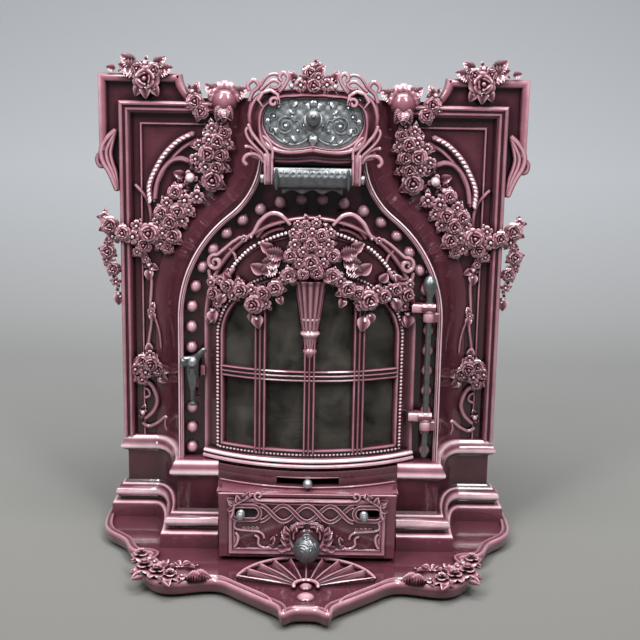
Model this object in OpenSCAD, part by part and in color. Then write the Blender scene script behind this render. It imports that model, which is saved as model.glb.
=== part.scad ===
// Enamelled cast-iron stove with a bow-fronted mica door, a tilting feed door and an ash drawer.
// Millimetres, +Z up, front towards -Y. The part's origin is the middle of its footprint on the floor.
// Sizes are first drawn from the face of the side pilasters, which is y = 0 there.

/* [Front] */
// Width across the pilasters, without the ears
body_w = 562; // [552:2:580]
// How far each ear stands out past its pilaster
ear_out = 29; // [20:1:36]
// Height of the ears' top edge
ear_top = 680; // [672:2:700]
// Height of an ear
ear_h = 104; // [90:2:120]
// Height of the front's edge beside the feed door
shoulder_top = 648; // [644:2:654]
// Thickness of the front castings
wall = 9; // [7:0.5:11]
// How far the middle stands in front of the pilasters
front_d = 110; // [104:1:114]

/* [Arch] */
// Radius of the raised rim round the door arch
rim_r = 184; // [182:1:188]
// Height of the arch's springing
arch_z = 345; // [335:1:350]
// Half width of the neck under the feed door
neck_x = 72; // [68:1:76]
// Width of the cove between rim and pilaster panel
cove_w = 48; // [44:1:50]
// Radius of the balls in the channel
ball_r = 9; // [7:0.5:10]
// Balls round the half circle of the arch
ball_count = 18; // [14:2:18]

/* [Base] */
// Height of the foot bosses
foot_h = 6; // [4:1:10]
// Height of the hearth tray above its feet
tray_h = 14; // [12:1:18]
// Height of the plinth above the tray
plinth_h = 123; // [120:1:126]
// How far the tray reaches in front of the pilasters
tray_front = 350; // [340:1:360]
// Depth of the iron casing behind the front
casing_d = 166; // [160:1:200]
// Thickness of the casing plates
plate_t = 6; // [5:0.5:8]
// Inner radius of the flue collar
flue_r = 56; // [50:0.5:60]

/* [Door] */
// Radius of the door's bow
bow_r = 240; // [236:1:250]
// Width of the door's stiles beside the mica window
stile_w = 28; // [26:1:34]
// Width of the glazing bars
bar_w = 16; // [12:1:18]
// Height of the cross bar's middle
cross_z = 274; // [260:1:290]
// Thickness of the mica
mica_t = 1; // [0.5:0.1:1.5]

/* [Ash drawer] */
// Half width of the drawer's front
drawer_x = 107; // [100:1:108]
// Height of the drawer's front
drawer_h = 80; // [76:1:81]
// Radius of the air holes
air_r = 6.5; // [5:0.5:7]
// Travel of the air register
register_travel = 13; // [13:1:14]

/* [Hidden] */

enamel = "#7c3f4c";
nickel = "#90969a";
iron = "#343232";
brick = "#a08a72";
mica = "#c9c2a8";

touch = 0.3;       // gap between pieces that move or stand close
fit = 0.05;        // radial clearance of a pin in its bore
eps = 0.01;
facets = 48;

pil_x = body_w / 2;
ear_x = pil_x + ear_out;
tray_z = foot_h + tray_h;
plinth_z = tray_z + plinth_h;
head_top = shoulder_top;
face_y = -front_d;
floor_y = -front_d + 14;      // floor of the ball channel
inner_y = floor_y + 6;        // back of the channel floor
door_r = rim_r - 34;          // outer radius of the door
open_r = door_r - 10;         // radius of the opening behind the door
window_x = door_r - stile_w;  // half width of the mica window
ball_path = rim_r - 17;
cove_x = rim_r + cove_w;
ball_step = 180 / ball_count;
ball_pitch = ball_path * ball_step * PI / 180;
casing_back_y = wall + casing_d;
collar_l = 45;
flange_w = 40;                // of the casing's sides, behind the wings
casing_x = pil_x - flange_w - 20;

// The rim turns from the arch into the neck at this heading
turn = 38;
neck_r = (rim_r * sin(turn) - neck_x) / (1 - sin(turn));

function reverse(l) = [for (i = [len(l) - 1:-1:0]) l[i]];
function mirrored(l) = [for (p = reverse(l)) [-p[0], p[1]]];
function symmetric(l) = concat(l, mirrored(l));
function arc(c, r, a0, a1, n) = [for (i = [0:n]) let (a = a0 + (a1 - a0) * i / n) c + r * [cos(a), sin(a)]];
// A smooth curve through points, with n steps between each two
function smooth(p, n) = [
    for (i = [0:len(p) - 2], k = [0:n - 1])
        let (a = p[max(i - 1, 0)], b = p[i], c = p[i + 1], d = p[min(i + 2, len(p) - 1)], t = k / n)
        0.5 * ((2 * b) + (c - a) * t + (2 * a - 5 * b + 4 * c - d) * t * t + (3 * b - a - 3 * c + d) * t * t * t),
    p[len(p) - 1]
];
function unit(v) = v / max(norm(v), 1e-9);
function left_of(v) = [-v[1], v[0]];
// Open path moved sideways by d, with mitred corners
function aside(p, d) = [
    for (i = [0:len(p) - 1])
        let (a = unit(p[min(i + 1, len(p) - 1)] - p[i]), b = unit(p[i] - p[max(i - 1, 0)]),
             u = norm(a) < 0.5 ? b : (norm(b) < 0.5 ? a : a), w = norm(b) < 0.5 ? a : b,
             m = unit(left_of(u) + left_of(w)))
        p[i] + m * d / max(m * left_of(u), 0.3)
];
function band(p, w) = concat(p, reverse(aside(p, w)));

// The raised rim's line on the right-hand side, moved outwards by d
function rim_line(d, z0, z1) =
    let (c = (rim_r + neck_r) * [sin(turn), cos(turn)] + [0, arch_z])
    concat(
        z0 < arch_z ? [[rim_r + d, z0]] : [],
        z1 > arch_z ? arc([0, arch_z], rim_r + d, 0, 90 - turn, 10) : [[rim_r + d, z1]],
        z1 > arch_z ? [for (i = [1:7]) let (b = (90 - turn) * (1 - i / 7)) c - (neck_r - d) * [cos(b), sin(b)]] : [],
        z1 > arch_z ? [[neck_x + d, z1]] : []
    );

// A solid through closed loops of equal length
// cap, if given, cuts the end face into convex polygons of points of one loop
module loft(loops, flip = false, cap = undef) {
    m = len(loops[0]);
    n = len(loops);
    quads = [
        for (i = [0:n - 2], j = [0:m - 1])
            let (a = i * m + j, b = i * m + (j + 1) % m, c = b + m, d = a + m)
            each [[a, b, c], [a, c, d]]
    ];
    ends = is_undef(cap) ? [[for (j = [0:m - 1]) j]] : cap;
    faces = concat(quads, [for (f = ends) reverse(f)], [for (f = ends) [for (j = f) (n - 1) * m + j]]);
    polyhedron([for (l = loops) each l], flip ? [for (f = faces) reverse(f)] : faces, convexity = 10);
}
// A profile of [aside, towards the viewer] points run along a line of [x, z] points
module run_front(path, profile, flip = false) {
    rows = [for (q = profile) aside(path, q[0])];
    loft([for (i = [0:len(path) - 1]) [for (j = [0:len(profile) - 1]) [rows[j][i][0], -profile[j][1], rows[j][i][1]]]], flip);
}
// Extrudes an outline of [x, z] from y0 back to y1
module slab(y0, y1) {
    translate([0, y1, 0]) rotate([90, 0, 0]) linear_extrude(y1 - y0) children();
}
module both() {
    children();
    mirror([1, 0, 0]) children();
}
module placed() {
    translate([0, y_shift, 0]) children();
}
// A five-petalled flower in three tiers, from y0 forward to y1
function lobes(r) = [for (i = [0:29]) let (a = 12 * i) r * (0.8 + 0.2 * abs(cos(2.5 * a))) * [sin(a), cos(a)]];
module rosette(x, z, r, y0, y1) {
    h = y0 - y1;
    translate([x, 0, z]) {
        slab(y0 - h * 0.55, y0) polygon(lobes(r));
        slab(y0 - h * 0.82, y0 - 1) polygon(lobes(r * 0.68));
        slab(y1, y0 - 1) circle(r = r * 0.3, $fn = facets);
    }
}
// A round bar between two heights of y
module bar_y(x, z, r, y0, y1) {
    translate([x, y1, z]) rotate([90, 0, 0]) cylinder(h = y1 - y0, r = r, $fn = facets);
}
module bar_x(y, z, r, x0, x1) {
    translate([x0, y, z]) rotate([0, 90, 0]) cylinder(h = x1 - x0, r = r, $fn = facets);
}

// Hearth tray: the wavy outline of its right-hand half, from the back to the middle of the front
tray_half = smooth([
    [304, wall], [303, -45], [292, -88], [262, -122], [244, -160], [215, -172],
    [226, -206], [212, -246], [182, -268], [131, -258], [110, -262], [88, -281],
    [59, -307], [36, -328], [29, -tray_front], [14, 10 - tray_front], [0, 12 - tray_front]
], 3);
tray_line = concat(tray_half, [for (p = reverse(tray_half)) if (p[0] > 0) [-p[0], p[1]]]);
y_shift = (-min([for (p = tray_line) p[1]]) - casing_back_y - collar_l) / 2;
shell_y = -272;
shell_r = 92;
shell_ribs = 11;

module tray_solid(inset, z0, z1) {
    translate([0, 0, z0]) linear_extrude(z1 - z0) polygon(aside(tray_line, inset));
}
module shell_fan() {
    for (i = [0:shell_ribs - 1]) {
        a = 16 + (180 - 32) * i / (shell_ribs - 1);
        translate([0, shell_y, tray_z - 1]) rotate(a) linear_extrude(4)
            polygon([[14, -1.2], [shell_r * (0.86 + 0.1 * abs(cos(a))), -3.2],
                     [shell_r * (0.86 + 0.1 * abs(cos(a))), 3.2], [14, 1.2]]);
    }
    translate([0, shell_y, tray_z - 1]) cylinder(h = 6, r = 13, $fn = facets);
}
module hearth_plate() {
    color(enamel) placed() {
            difference() {
                tray_solid(0, foot_h, tray_z + 4);
                tray_solid(7, foot_h - 1, tray_z - 8);
                tray_solid(8, tray_z, tray_z + 5);
                translate([0, wall + 50, tray_z + 25]) cube([700, 100, 50], center = true);
            }
            shell_fan();
            both() {
                translate([250, -30, 0]) cylinder(h = tray_z - 4, r = 14, $fn = facets);
                translate([120, -225, 0]) cylinder(h = tray_z - 4, r = 14, $fn = facets);
            }
    }
}
module sole_plate() {
    color(iron) placed() {
        translate([-casing_x - 10, wall + touch, foot_h]) cube([2 * casing_x + 20, casing_d, tray_z - foot_h]);
        both() translate([170, wall + casing_d - 30, 0]) cylinder(h = foot_h + eps, r = 14, $fn = facets);
    }
}

// Plinth: [out from the die, height above the tray] of its moulding, bottom to top
plinth_wall = 9;
ledge_t = 8;
plinth_profile = [
    [22, 0], [22, 22], [18, 28], [12, 29], [15, 33], [16.5, 38], [14, 43], [9, 45], [6, 47.5], [0, 48],
    [0, 101], [6, 103], [9.5, 106], [9.5, 110], [4, plinth_h - 4], [-3, plinth_h],
    [-plinth_wall, plinth_h], [-plinth_wall, 101], [-plinth_wall, 48], [-plinth_wall, 29], [-plinth_wall, 0]
];
plinth_cap = concat(
    [[20, 0, 1, 2, 3, 19], [18, 19, 3], [17, 18, 9, 10], [16, 17, 10, 11, 12, 13, 14, 15]],
    [for (i = [3:8]) [18, i, i + 1]]
);
die_x = pil_x - 6;
die_y = face_y - 16;
box_x = 126;
// Plan of the plinth at u out from its die
function plinth_line(u) = concat(
    [[die_x + u, wall], [die_x + u, -7 - u]],
    [for (i = [0:8]) let (t = 90 * i / 8)
        [cove_x - (cove_w - 1 - u) * sin(t), die_y - u + (-7 - die_y) * cos(t)]],
    [[box_x, die_y - u]]
);
module plinth() {
    rows = [for (q = plinth_profile) plinth_line(q[0])];
    translate([0, 0, tray_z]) loft([for (i = [0:len(rows[0]) - 1])
        [for (j = [0:len(rows) - 1]) [rows[j][i][0], rows[j][i][1], plinth_profile[j][1]]]], true, plinth_cap);
    // Ledge under the ends of the door, and under the ball strip
    translate([box_x, die_y + plinth_wall - 2, plinth_z - ledge_t])
        cube([rim_r - box_x, floor_y - die_y - plinth_wall + 2, ledge_t]);
    translate([open_r, floor_y - 2, plinth_z - ledge_t]) cube([rim_r - open_r, inner_y - floor_y + 2, ledge_t]);
}
module plinth_right() { color(enamel) placed() plinth(); }
module plinth_left() { color(enamel) placed() mirror([1, 0, 0]) plinth(); }

// Wing: pilaster, panel and ear, with its relief
wing_bottom = plinth_z;
ear_bottom = ear_top - ear_h;
ear_in = pil_x - 91;
wing_line = concat(
    [[pil_x, wing_bottom], [pil_x, ear_bottom - 68]],
    smooth([[pil_x, ear_bottom - 66], [pil_x + 8, ear_bottom - 40], [pil_x + 24, ear_bottom - 18],
            [ear_x, ear_bottom - 8]], 3),
    [[ear_x, ear_bottom], [ear_x, ear_top], [ear_in, ear_top]],
    smooth([[ear_in, ear_top], [ear_in - 3, ear_top - 14], [ear_in - 15, shoulder_top]], 3),
    [[neck_x + cove_w, shoulder_top]]
);
frame_profile = [[0, 0], [0, 12], [1.5, 15], [4, 16], [6.5, 15], [7.5, 12.5], [9, 12], [11, 13.5], [13.5, 12.5], [15, 9], [15, 0]];
ear_profile = [[0, 0], [0, 8], [2, 11], [6, 12], [10, 10.5], [12, 7], [12, 0]];
line_profile = [[0, 0], [0, 3], [1.5, 4.5], [3, 3], [3, 0]];
line_x = (cove_x + pil_x) / 2 - 6.5;
// Flowers in relief: [x, z, radius, how far it stands out], drawn for a panel 49 mm wide
panel_k = (pil_x - cove_x) / 49;
function panel_x(x) = pil_x - (281 - x) * panel_k;
flowers = [
    [239, ear_top - 12, 19, 22], [143, 632, 18, 22], [143, 566, 17, 20], [156, 533, 13, 18], [192, 505, 17, 17],
    [213, 474, 16, 16], [240, 450, 17, 20], [268, 450, 13, 20], [252, 246, 18, 18]
];
// Stems in relief: [width, how far it stands out, points]
stems = [
    [9, 9, [[170, 596], [194, 586], [214, 567], [229, 545], [238, 524], [236, 500]]],
    [5, 6, [[162, 560], [180, 556], [200, 558], [219, 540], [229, 512]]],
    [6, 6, [[240, 402], [238, 370], [239, 345], [237, 318], [241, 290], [243, 262]]],
    [6, 7, [[248, 228], [240, 222], [235, 206], [240, 184], [250, 170], [241, 160], [237, 150]]]
];
module wing() {
    slab(0, wall) polygon(concat(wing_line, reverse(rim_line(cove_w, wing_bottom, shoulder_top))));
    run_front([[ear_x, ear_bottom], [ear_x, ear_top], [ear_in, ear_top], [ear_in - 3, ear_top - 14],
               [ear_in - 15, shoulder_top]], ear_profile);
    run_front([[pil_x, wing_bottom], [pil_x, 642], [neck_x + cove_w + 1, 642]], frame_profile);
    run_front([[line_x, wing_bottom], [line_x, 610], [neck_x + cove_w + 1, 610]], line_profile);
    for (f = flowers) rosette(panel_x(f[0]), f[1], f[2] * panel_k, wall / 2, -f[3]);
    for (s = stems) slab(-s[1], wall / 2)
        polygon(band(smooth([for (p = s[2]) [panel_x(p[0]), p[1]]], 4), s[0] * panel_k));
    // Return along the pilaster's side
    translate([pil_x - 7, wall / 2, wing_bottom]) cube([7, 60, ear_bottom - 68 - wing_bottom]);
}
module wing_right() { color(enamel) placed() wing(); }
module wing_left() { color(enamel) placed() mirror([1, 0, 0]) wing(); }

// Cove and raised rim: a closed section of [out from the rim, y]
cove_steps = 8;
cove_t = 6;
cove_face = [for (i = [0:cove_steps]) let (t = 90 * i / cove_steps) [cove_w * (1 - sin(t)), face_y + front_d * cos(t)]];
cove_section = concat(
    cove_face,
    arc([-3, face_y], 4, -20, -160, 4),
    reverse([for (q = aside(cove_face, -cove_t)) [min(q[0], cove_w), q[1]]])
);
cove_last = len(cove_section) - 1;
cove_cap = concat(
    [for (i = [0:cove_steps - 1]) [i, i + 1, cove_last - 1 - i, cove_last - i]],
    [[for (i = [cove_steps:cove_last - cove_steps]) i]]
);
module arch_cove() {
    rows = [for (q = cove_section) rim_line(q[0], arch_z, head_top)];
    loft([for (i = [0:len(rows[0]) - 1]) [for (j = [0:cove_last])
        [rows[j][i][0], cove_section[j][1], rows[j][i][1]]]], false, cove_cap);
}
module jamb() {
    translate([rim_r, 0, plinth_z]) linear_extrude(height = arch_z - plinth_z) polygon(cove_section);
}
module ball(x, z) { translate([x, floor_y - 2, z]) sphere(r = ball_r, $fn = facets); }
// Fixed lugs of the door's hinge, seated on the rim
lug_h = 12;
lug_end = rim_r - 7 - touch;
module hinge_lugs() {
    color(enamel) placed() for (z = knuckle_z) difference() {
        union() {
            translate([hinge_x, hinge_y, z - lug_h - touch]) cylinder(h = lug_h, r = 8, $fn = facets);
            translate([hinge_x, hinge_y + 1, z - lug_h - touch]) cube([lug_end - hinge_x, 11, lug_h]);
        }
        hinge_bore(z - lug_h - touch, lug_h);
    }
}
module hinge_bore(z, h) {
    translate([hinge_x, hinge_y, z - 1]) cylinder(h = h + 2, r = hinge_r + fit, $fn = facets);
}
pin_r = 3;
latch_z = arch_z - 61;
latch_x = -door_r - 13;
jamb_balls = floor((arch_z - plinth_z - ball_r) / ball_pitch + 0.5);
function jamb_ball_z(i) = arch_z - (i + 0.5) * ball_pitch;
module jamb_right() { color(enamel) placed() jamb(); }
module jamb_left() { color(enamel) placed() mirror([1, 0, 0]) jamb(); }

// Rebate that the door shuts against: flat strips and a half ring behind its edge
strip_in = ball_path - 10.5;
strip_out = rim_r - cove_t - touch;
module strip(x0, x1) { translate([x0, floor_y, plinth_z]) cube([x1 - x0, inner_y - floor_y, arch_z - plinth_z]); }
module half_ring(r0, r1) {
    difference() {
        bar_y(0, arch_z, r1, floor_y, inner_y);
        bar_y(0, arch_z, r0, floor_y - 1, inner_y + 1);
        translate([-r1 - 1, floor_y - 1, arch_z - r1 - 1]) cube([2 * r1 + 2, inner_y - floor_y + 2, r1 + 1]);
    }
}
module rebate_right() { color(enamel) placed() strip(open_r, strip_in - touch); }
module rebate_left() { color(enamel) placed() mirror([1, 0, 0]) strip(open_r, strip_in - touch); }
module rebate_arch() { color(enamel) placed() half_ring(open_r, strip_in - touch); }

// Ball channel: strips beside the door and a half ring over it
module ball_strip(with_latch) {
    difference() {
        union() {
            strip(strip_in, strip_out);
            for (i = [0:jamb_balls - 1])
                if (!with_latch || abs(jamb_ball_z(i) - latch_z + 20) > 26) ball(ball_path, jamb_ball_z(i));
        }
        if (with_latch) bar_y(-latch_x, latch_z, pin_r + fit, floor_y - 20, inner_y + 10);
    }
}
module ball_strip_right() { color(enamel) placed() ball_strip(false); }
module ball_strip_left() { color(enamel) placed() mirror([1, 0, 0]) ball_strip(true); }
module ball_arch() {
    color(enamel) placed() union() {
        half_ring(strip_in, strip_out);
        for (i = [0:ball_count - 1]) let (a = (i + 0.5) * ball_step)
            ball(ball_path * cos(a), arch_z + ball_path * sin(a));
    }
}
// Boss of the latch, with a rib down the channel
module latch_boss() {
    color(enamel) placed() difference() {
        union() {
            bar_y(latch_x, latch_z, 8, floor_y - 6, floor_y);
            translate([latch_x - 5, floor_y - 4, latch_z - 36]) cube([10, 4, 36]);
        }
        bar_y(latch_x, latch_z, pin_r + fit, floor_y - 20, floor_y + 1);
    }
}

mouth = [52, 572, 636];       // half width, bottom and top of the feed mouth
mouth_y = -126;
lid_line = [for (q = aside(cove_face, -cove_t - touch)) [neck_x + q[0], q[1]]];
module arch_cove_right() { color(enamel) placed() arch_cove(); }
module arch_cove_left() { color(enamel) placed() mirror([1, 0, 0]) arch_cove(); }
// Plate over the arch, with the feed mouth and the lid behind it
plate_gap = 0.9;
module arch_head() {
    color(enamel) placed() difference() {
        union() {
            slab(floor_y, inner_y) polygon(symmetric(rim_line(-cove_t - touch, arch_z, head_top)));
            translate([-mouth[0] - 5, mouth_y, mouth[1] - 5])
                cube([2 * mouth[0] + 10, floor_y - mouth_y + 1, mouth[2] - mouth[1] + 10]);
            // Lid between the coves, over the chute
            translate([0, 0, mouth[2] + 5 + touch]) linear_extrude(5)
                polygon(concat(lid_line, mirrored(lid_line)));
        }
        bar_y(0, arch_z, strip_out + plate_gap, floor_y - 1, inner_y + 1);
        translate([-mouth[0], mouth_y - 1, mouth[1]]) cube([2 * mouth[0], 60, mouth[2] - mouth[1]]);
    }
}

// Feed chute, seen from the side as [y, z]
chute_out = [[inner_y, 572 - 5], [-46, 572 - 5], [-2, 523], [-2, 460], [66, 460], [66, 560], [-14, 641], [inner_y, 641]];
chute_in = [[inner_y - 1, 572], [-44, 572], [3, 525], [3, 459], [61, 459], [61, 558], [-16, 636], [inner_y - 1, 636]];
module side_slab(x0, x1) {
    translate([x0, 0, 0]) rotate([90, 0, 90]) linear_extrude(x1 - x0) children();
}
module hopper_chute() {
    color(iron) placed() difference() {
        side_slab(-mouth[0] - 4, mouth[0] + 4) polygon(chute_out);
        side_slab(-mouth[0], mouth[0]) polygon(chute_in);
    }
}

// Feed door, its hinge bar and pin
tilt_y = -147;
tilt_z = 541;
tilt_r = 4;
leg_x = 51.5;
leg_w = 13;
module hopper_hinge_bar() {
    color(nickel) placed() difference() {
        union() {
            side_slab(-leg_x + touch, leg_x - touch) polygon([
                [-127, 528], [-138, 525], [-149, 525], [-156, 530], [-159, 536], [-159, 546], [-156, 553], [-149, 556], [-127, 556]
            ]);
            side_slab(-40, 40) polygon([[-127, 532], [-127, 552], [floor_y, 548], [floor_y, 532]]);
            side_slab(-leg_x + touch, -leg_x + 8) polygon([[-152, 526], [-160, 529], [-161, 549], [-152, 555]]);
            side_slab(leg_x - 8, leg_x - touch) polygon([[-152, 526], [-160, 529], [-161, 549], [-152, 555]]);
        }
        bar_x(tilt_y, tilt_z, tilt_r + fit, -leg_x - 5, leg_x + 5);
    }
}
module hopper_hinge_pin() {
    color(nickel) placed() {
        bar_x(tilt_y, tilt_z, tilt_r, -leg_x - leg_w - 2, leg_x + leg_w + 2);
        both() bar_x(tilt_y, tilt_z, tilt_r + 2, leg_x + leg_w + touch, leg_x + leg_w + 4);
    }
}
hood_half = smooth([[0, 563], [28, 561], [54, 562], [80, 566], [85, 572], [80, 584], [84, 602], [87, 620],
                    [84, 638], [75, 650], [58, 656], [30, 658], [0, 660]], 2);
plate_half = smooth([[0, 585], [14, 582], [32, 581], [46, 586], [58, 596], [66, 612], [64, 628], [57, 638],
                     [42, 644], [28, 646], [16, 645], [8, 646], [0, 645]], 2);
function loop_of(half) = concat(half, [for (p = reverse(half)) if (p[0] > 0.01) [-p[0], p[1]]]);
hood_line = loop_of(hood_half);
plate_line = loop_of(plate_half);
hood_back = mouth_y - touch;
hood_section = [[0, -hood_back], [0, 140], [0.12, 147], [0.3, 151], [0.45, 152], [0.55, 149], [0.7, 154], [0.85, 155],
                [0.97, 151], [1, 146], [1, -hood_back]];
module hopper_door() {
    rows = [for (q = hood_section) [for (i = [0:len(hood_line) - 1])
        let (p = hood_line[i] * (1 - q[0]) + plate_line[i] * q[0]) [p[0], -q[1], p[1]]]];
    m = len(hood_line);
    n = len(rows);
    color(enamel) placed() {
        polyhedron([for (r = rows) each r], [
            for (i = [0:n - 1], j = [0:m - 1])
                let (a = i * m + j, b = i * m + (j + 1) % m, c = ((i + 1) % n) * m + (j + 1) % m, d = ((i + 1) % n) * m + j)
                each [[c, b, a], [d, c, a]]
        ], convexity = 10);
        // Back pan behind the metal plate
        slab(-132, hood_back - 1.5) polygon([for (p = plate_line) [p[0] * 1.04, 613 + (p[1] - 613) * 1.06]]);
        // Legs down to the hinge
        both() difference() {
            side_slab(leg_x, leg_x + leg_w) polygon([
                [-131, 574], [-131, 562], [-139, 545], [-140, 539], [-143, 534.5], [-147, 533], [-151, 534.5], [-154, 539],
                [-154, 574]
            ]);
            bar_x(tilt_y, tilt_z, tilt_r + fit, leg_x - 1, leg_x + leg_w + 1);
        }
        // Cresting of flowers
        for (c = [[0, 665, 15, 0], [-2, 679, 10, 1.3], [25, 662, 11, 2.1], [-25, 662, 11, 2.1], [45, 659, 9.5, 3.4],
                  [-45, 659, 9.5, 3.4], [64, 655, 8.5, 4.7], [-64, 655, 8.5, 4.7]])
            rosette(c[0], c[1], c[2], -134 - c[3] / 4, -157 + c[3]);
    }
}
plate_y = -147;
module hopper_door_plate() {
    color(nickel) placed() difference() {
        slab(plate_y, -132) polygon([for (p = plate_line) [p[0] * 0.985, 613 + (p[1] - 613) * 0.985]]);
        bar_y(0, 618, 3, plate_y - 1, -131);
    }
}
module hopper_knob() {
    color(nickel) placed() translate([0, plate_y, 618]) rotate([90, 0, 0]) {
        translate([0, 0, -14]) cylinder(h = 15, r = 3 - fit, $fn = facets);
        rotate_extrude($fn = facets) polygon([[0, 0], [12, 0], [13, 2], [11, 4], [7, 5], [6, 8], [9, 11], [10, 15], [8, 19], [4, 21], [0, 22]]);
    }
}

// Fire door
bow_y = -156;                 // the bow's foremost line
bow_c = bow_y + bow_r;        // middle of the bow
door_back = floor_y - 0.5;
door_bottom = plinth_z + 0.5;  // clear of the plinths' ledges
sill_h = 10;
win_low = 169;
win_spring = arch_z - 21;
win_rise = 90;
skin = 9;
hinge_x = door_r + 14;
hinge_y = -121;
hinge_r = 4;
knuckle_z = [arch_z - 141, arch_z + 14];
knuckle_h = 13;
module bow(r) { translate([0, bow_c, 0]) cylinder(h = 800, r = r, $fn = 96); }
function door_line(r) = concat([[r, door_bottom]], arc([0, arch_z], r, 0, 180, 32), [[-r, door_bottom]]);
function window_line(g) = concat(
    [[window_x - g, win_low + g]],
    [for (i = [0:16]) let (a = 180 * i / 16) [(window_x - g) * cos(a), win_spring + (win_rise - g) * sin(a)]],
    [[-window_x + g, win_low + g]]
);
bar_xs = [-window_x * 0.557, 0, window_x * 0.557];
pane_line = concat([-window_x - bar_w / 2], bar_xs, [window_x + bar_w / 2]);
module panes_2d(g) {
    for (i = [0:3], z = [[win_low - 20, cross_z - bar_w / 2 + g], [cross_z + bar_w / 2 - g, 450]]) intersection() {
        polygon(window_line(-g));
        translate([pane_line[i] + bar_w / 2 - g, z[0]])
            square([pane_line[i + 1] - pane_line[i] - bar_w + 2 * g, z[1] - z[0]]);
    }
}
module door_shell() {
    difference() {
        intersection() {
            bow(bow_r);
            slab(-200, door_back) polygon(door_line(door_r - 1));
        }
        intersection() {
            bow(bow_r - skin);
            slab(-200, door_back + 1) polygon([for (p = door_line(door_r - 9)) [p[0], max(p[1], door_bottom + 9)]]);
        }
        slab(-200, door_back + 1) panes_2d(0);
    }
}
// Raised ribs along the glazing bars, let into the bars by a millimetre
module bar_ribs() {
    intersection() {
        difference() {
            bow(bow_r + 1.5);
            bow(bow_r - 1);
        }
        slab(-200, -90) union() {
            for (x = bar_xs, o = [-5.5, 0, 5.5]) translate([x + o - 1.2, win_low]) square([2.4, 150]);
            for (o = [-5.5, 5.5], i = [0:3]) translate([pane_line[i] + 6.7, cross_z + o - 1.2])
                square([pane_line[i + 1] - pane_line[i] - 13.4, 2.4]);
        }
    }
}
// The flower basket that stands on the middle bar: [radius, height]
basket_profile = [[0, 306], [6, 306], [9, 309], [9, 312], [6, 315], [7, 326], [10, 331], [13, 334], [13, 337], [10, 339],
                  [10, 351], [13, 353], [13, 356], [10, 358], [12, 370], [17, 388], [24, 402], [24, 406], [0, 406]];
// Flowers in relief on the door: [across, above the springing], as hundredths of the door's radius
door_flowers = [[-7, 49], [7, 49], [-21, 54], [21, 54], [-34, 61], [34, 61], [-48, 56], [48, 56],
                [0, 64], [-12, 75], [12, 75], [0, 85], [-79, 46], [79, 46], [-86, 27], [86, 27]];
flower_r = 10.5;
function bow_at(x) = bow_c - sqrt(pow(bow_r, 2) - x * x);
module door_knuckle(z) {
    translate([hinge_x, hinge_y, z]) cylinder(h = knuckle_h, r = 8, $fn = facets);
    translate([0, 0, z]) linear_extrude(knuckle_h)
        polygon([[hinge_x, hinge_y - 7], [hinge_x, hinge_y + 7], [hinge_x - 12, -104], [door_r - 10, -101], [door_r - 10, -124]]);
}
module fire_door() {
    color(enamel) placed() difference() {
        union() {
            door_shell();
            bar_ribs();
            // Bowed sill moulding
            intersection() {
                translate([0, bow_c, door_bottom]) rotate_extrude($fn = 96) polygon([
                    [bow_r - 3, 0.5], [bow_r + 3, 0.5], [bow_r + 7, 4], [bow_r + 7, 7], [bow_r + 4, 11], [bow_r - 3, 13]
                ]);
                translate([-door_r + 3, -220, door_bottom]) cube([2 * door_r - 6, 100, 20]);
            }
            // Basket of flowers on the middle bar
            intersection() {
                translate([0, bow_y + 5, 0]) rotate_extrude($fn = facets) polygon(basket_profile);
                translate([-50, bow_y - 50, 300]) cube([100, 55, 120]);
            }
            for (f = door_flowers) let (x = f[0] * door_r / 100)
                rosette(x, arch_z + f[1] * door_r / 100, flower_r, bow_at(x) + skin - 4, bow_at(x) - 9);
            for (z = knuckle_z) door_knuckle(z);
        }
        for (z = knuckle_z) hinge_bore(z, knuckle_h);
    }
}
pane_r = bow_r - skin - 0.1;
module mica_panes() {
    color(mica) placed() intersection() {
        difference() {
            bow(pane_r);
            bow(pane_r - mica_t);
        }
        slab(-200, -90) panes_2d(bar_w / 2 - 0.6);
    }
}
mica_back = pane_r - mica_t;
screw_xs = bar_xs;
screw_head = 4;
module mica_frame() {
    color(iron) placed() difference() {
        intersection() {
            difference() {
                bow(mica_back - touch / 3);
                bow(mica_back - touch / 3 - 2);
            }
            slab(-200, -90) difference() {
                polygon(window_line(-7));
                difference() {
                    polygon(window_line(5));
                    for (x = bar_xs) translate([x - 5, 0]) square([10, 600]);
                    translate([-200, cross_z - 5]) square([400, 10]);
                }
            }
        }
        for (x = screw_xs) bar_y(x, cross_z, 2.1, -200, -60);
    }
}
module mica_screws() {
    color(iron) placed() for (x = screw_xs) {
        frame_r = mica_back - touch / 3 - 2;
        front = bow_c - sqrt(pow(frame_r, 2) - x * x) - 1.6;
        head = bow_c - sqrt(pow(frame_r, 2) - pow(abs(x) + screw_head, 2)) + touch;
        bar_y(x, cross_z, screw_head, head, head + 3);
        bar_y(x, cross_z, 1.9, front, head + 1);
    }
}
rod_low = knuckle_z[0] - 54;
rod_top = knuckle_z[1] + 26;
module hinge_rod() {
    color(nickel) placed() translate([hinge_x, hinge_y, 0]) {
        translate([0, 0, rod_low]) cylinder(h = rod_top - rod_low, r = hinge_r, $fn = facets);
        translate([0, 0, rod_top - 12]) rotate_extrude($fn = facets)
            polygon([[0, 0], [6, 0], [7, 2], [5, 4], [8, 8], [9, 13], [8, 18], [5, 22], [0, 24]]);
    }
}
// Catch on the door's edge: the latch hangs clear of it, and its arm turns down over it
latch_y = [-127, -117];
catch_gap = 0.4;
catch_x = latch_x + 9.6;
catch_h = 13;
module door_catch() {
    color(enamel) placed() translate([catch_x, latch_y[1] + catch_gap, latch_z - 7 - catch_h])
        cube([-door_r - touch - catch_x, door_back - 1.5 - latch_y[1] - catch_gap, catch_h]);
}
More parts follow.
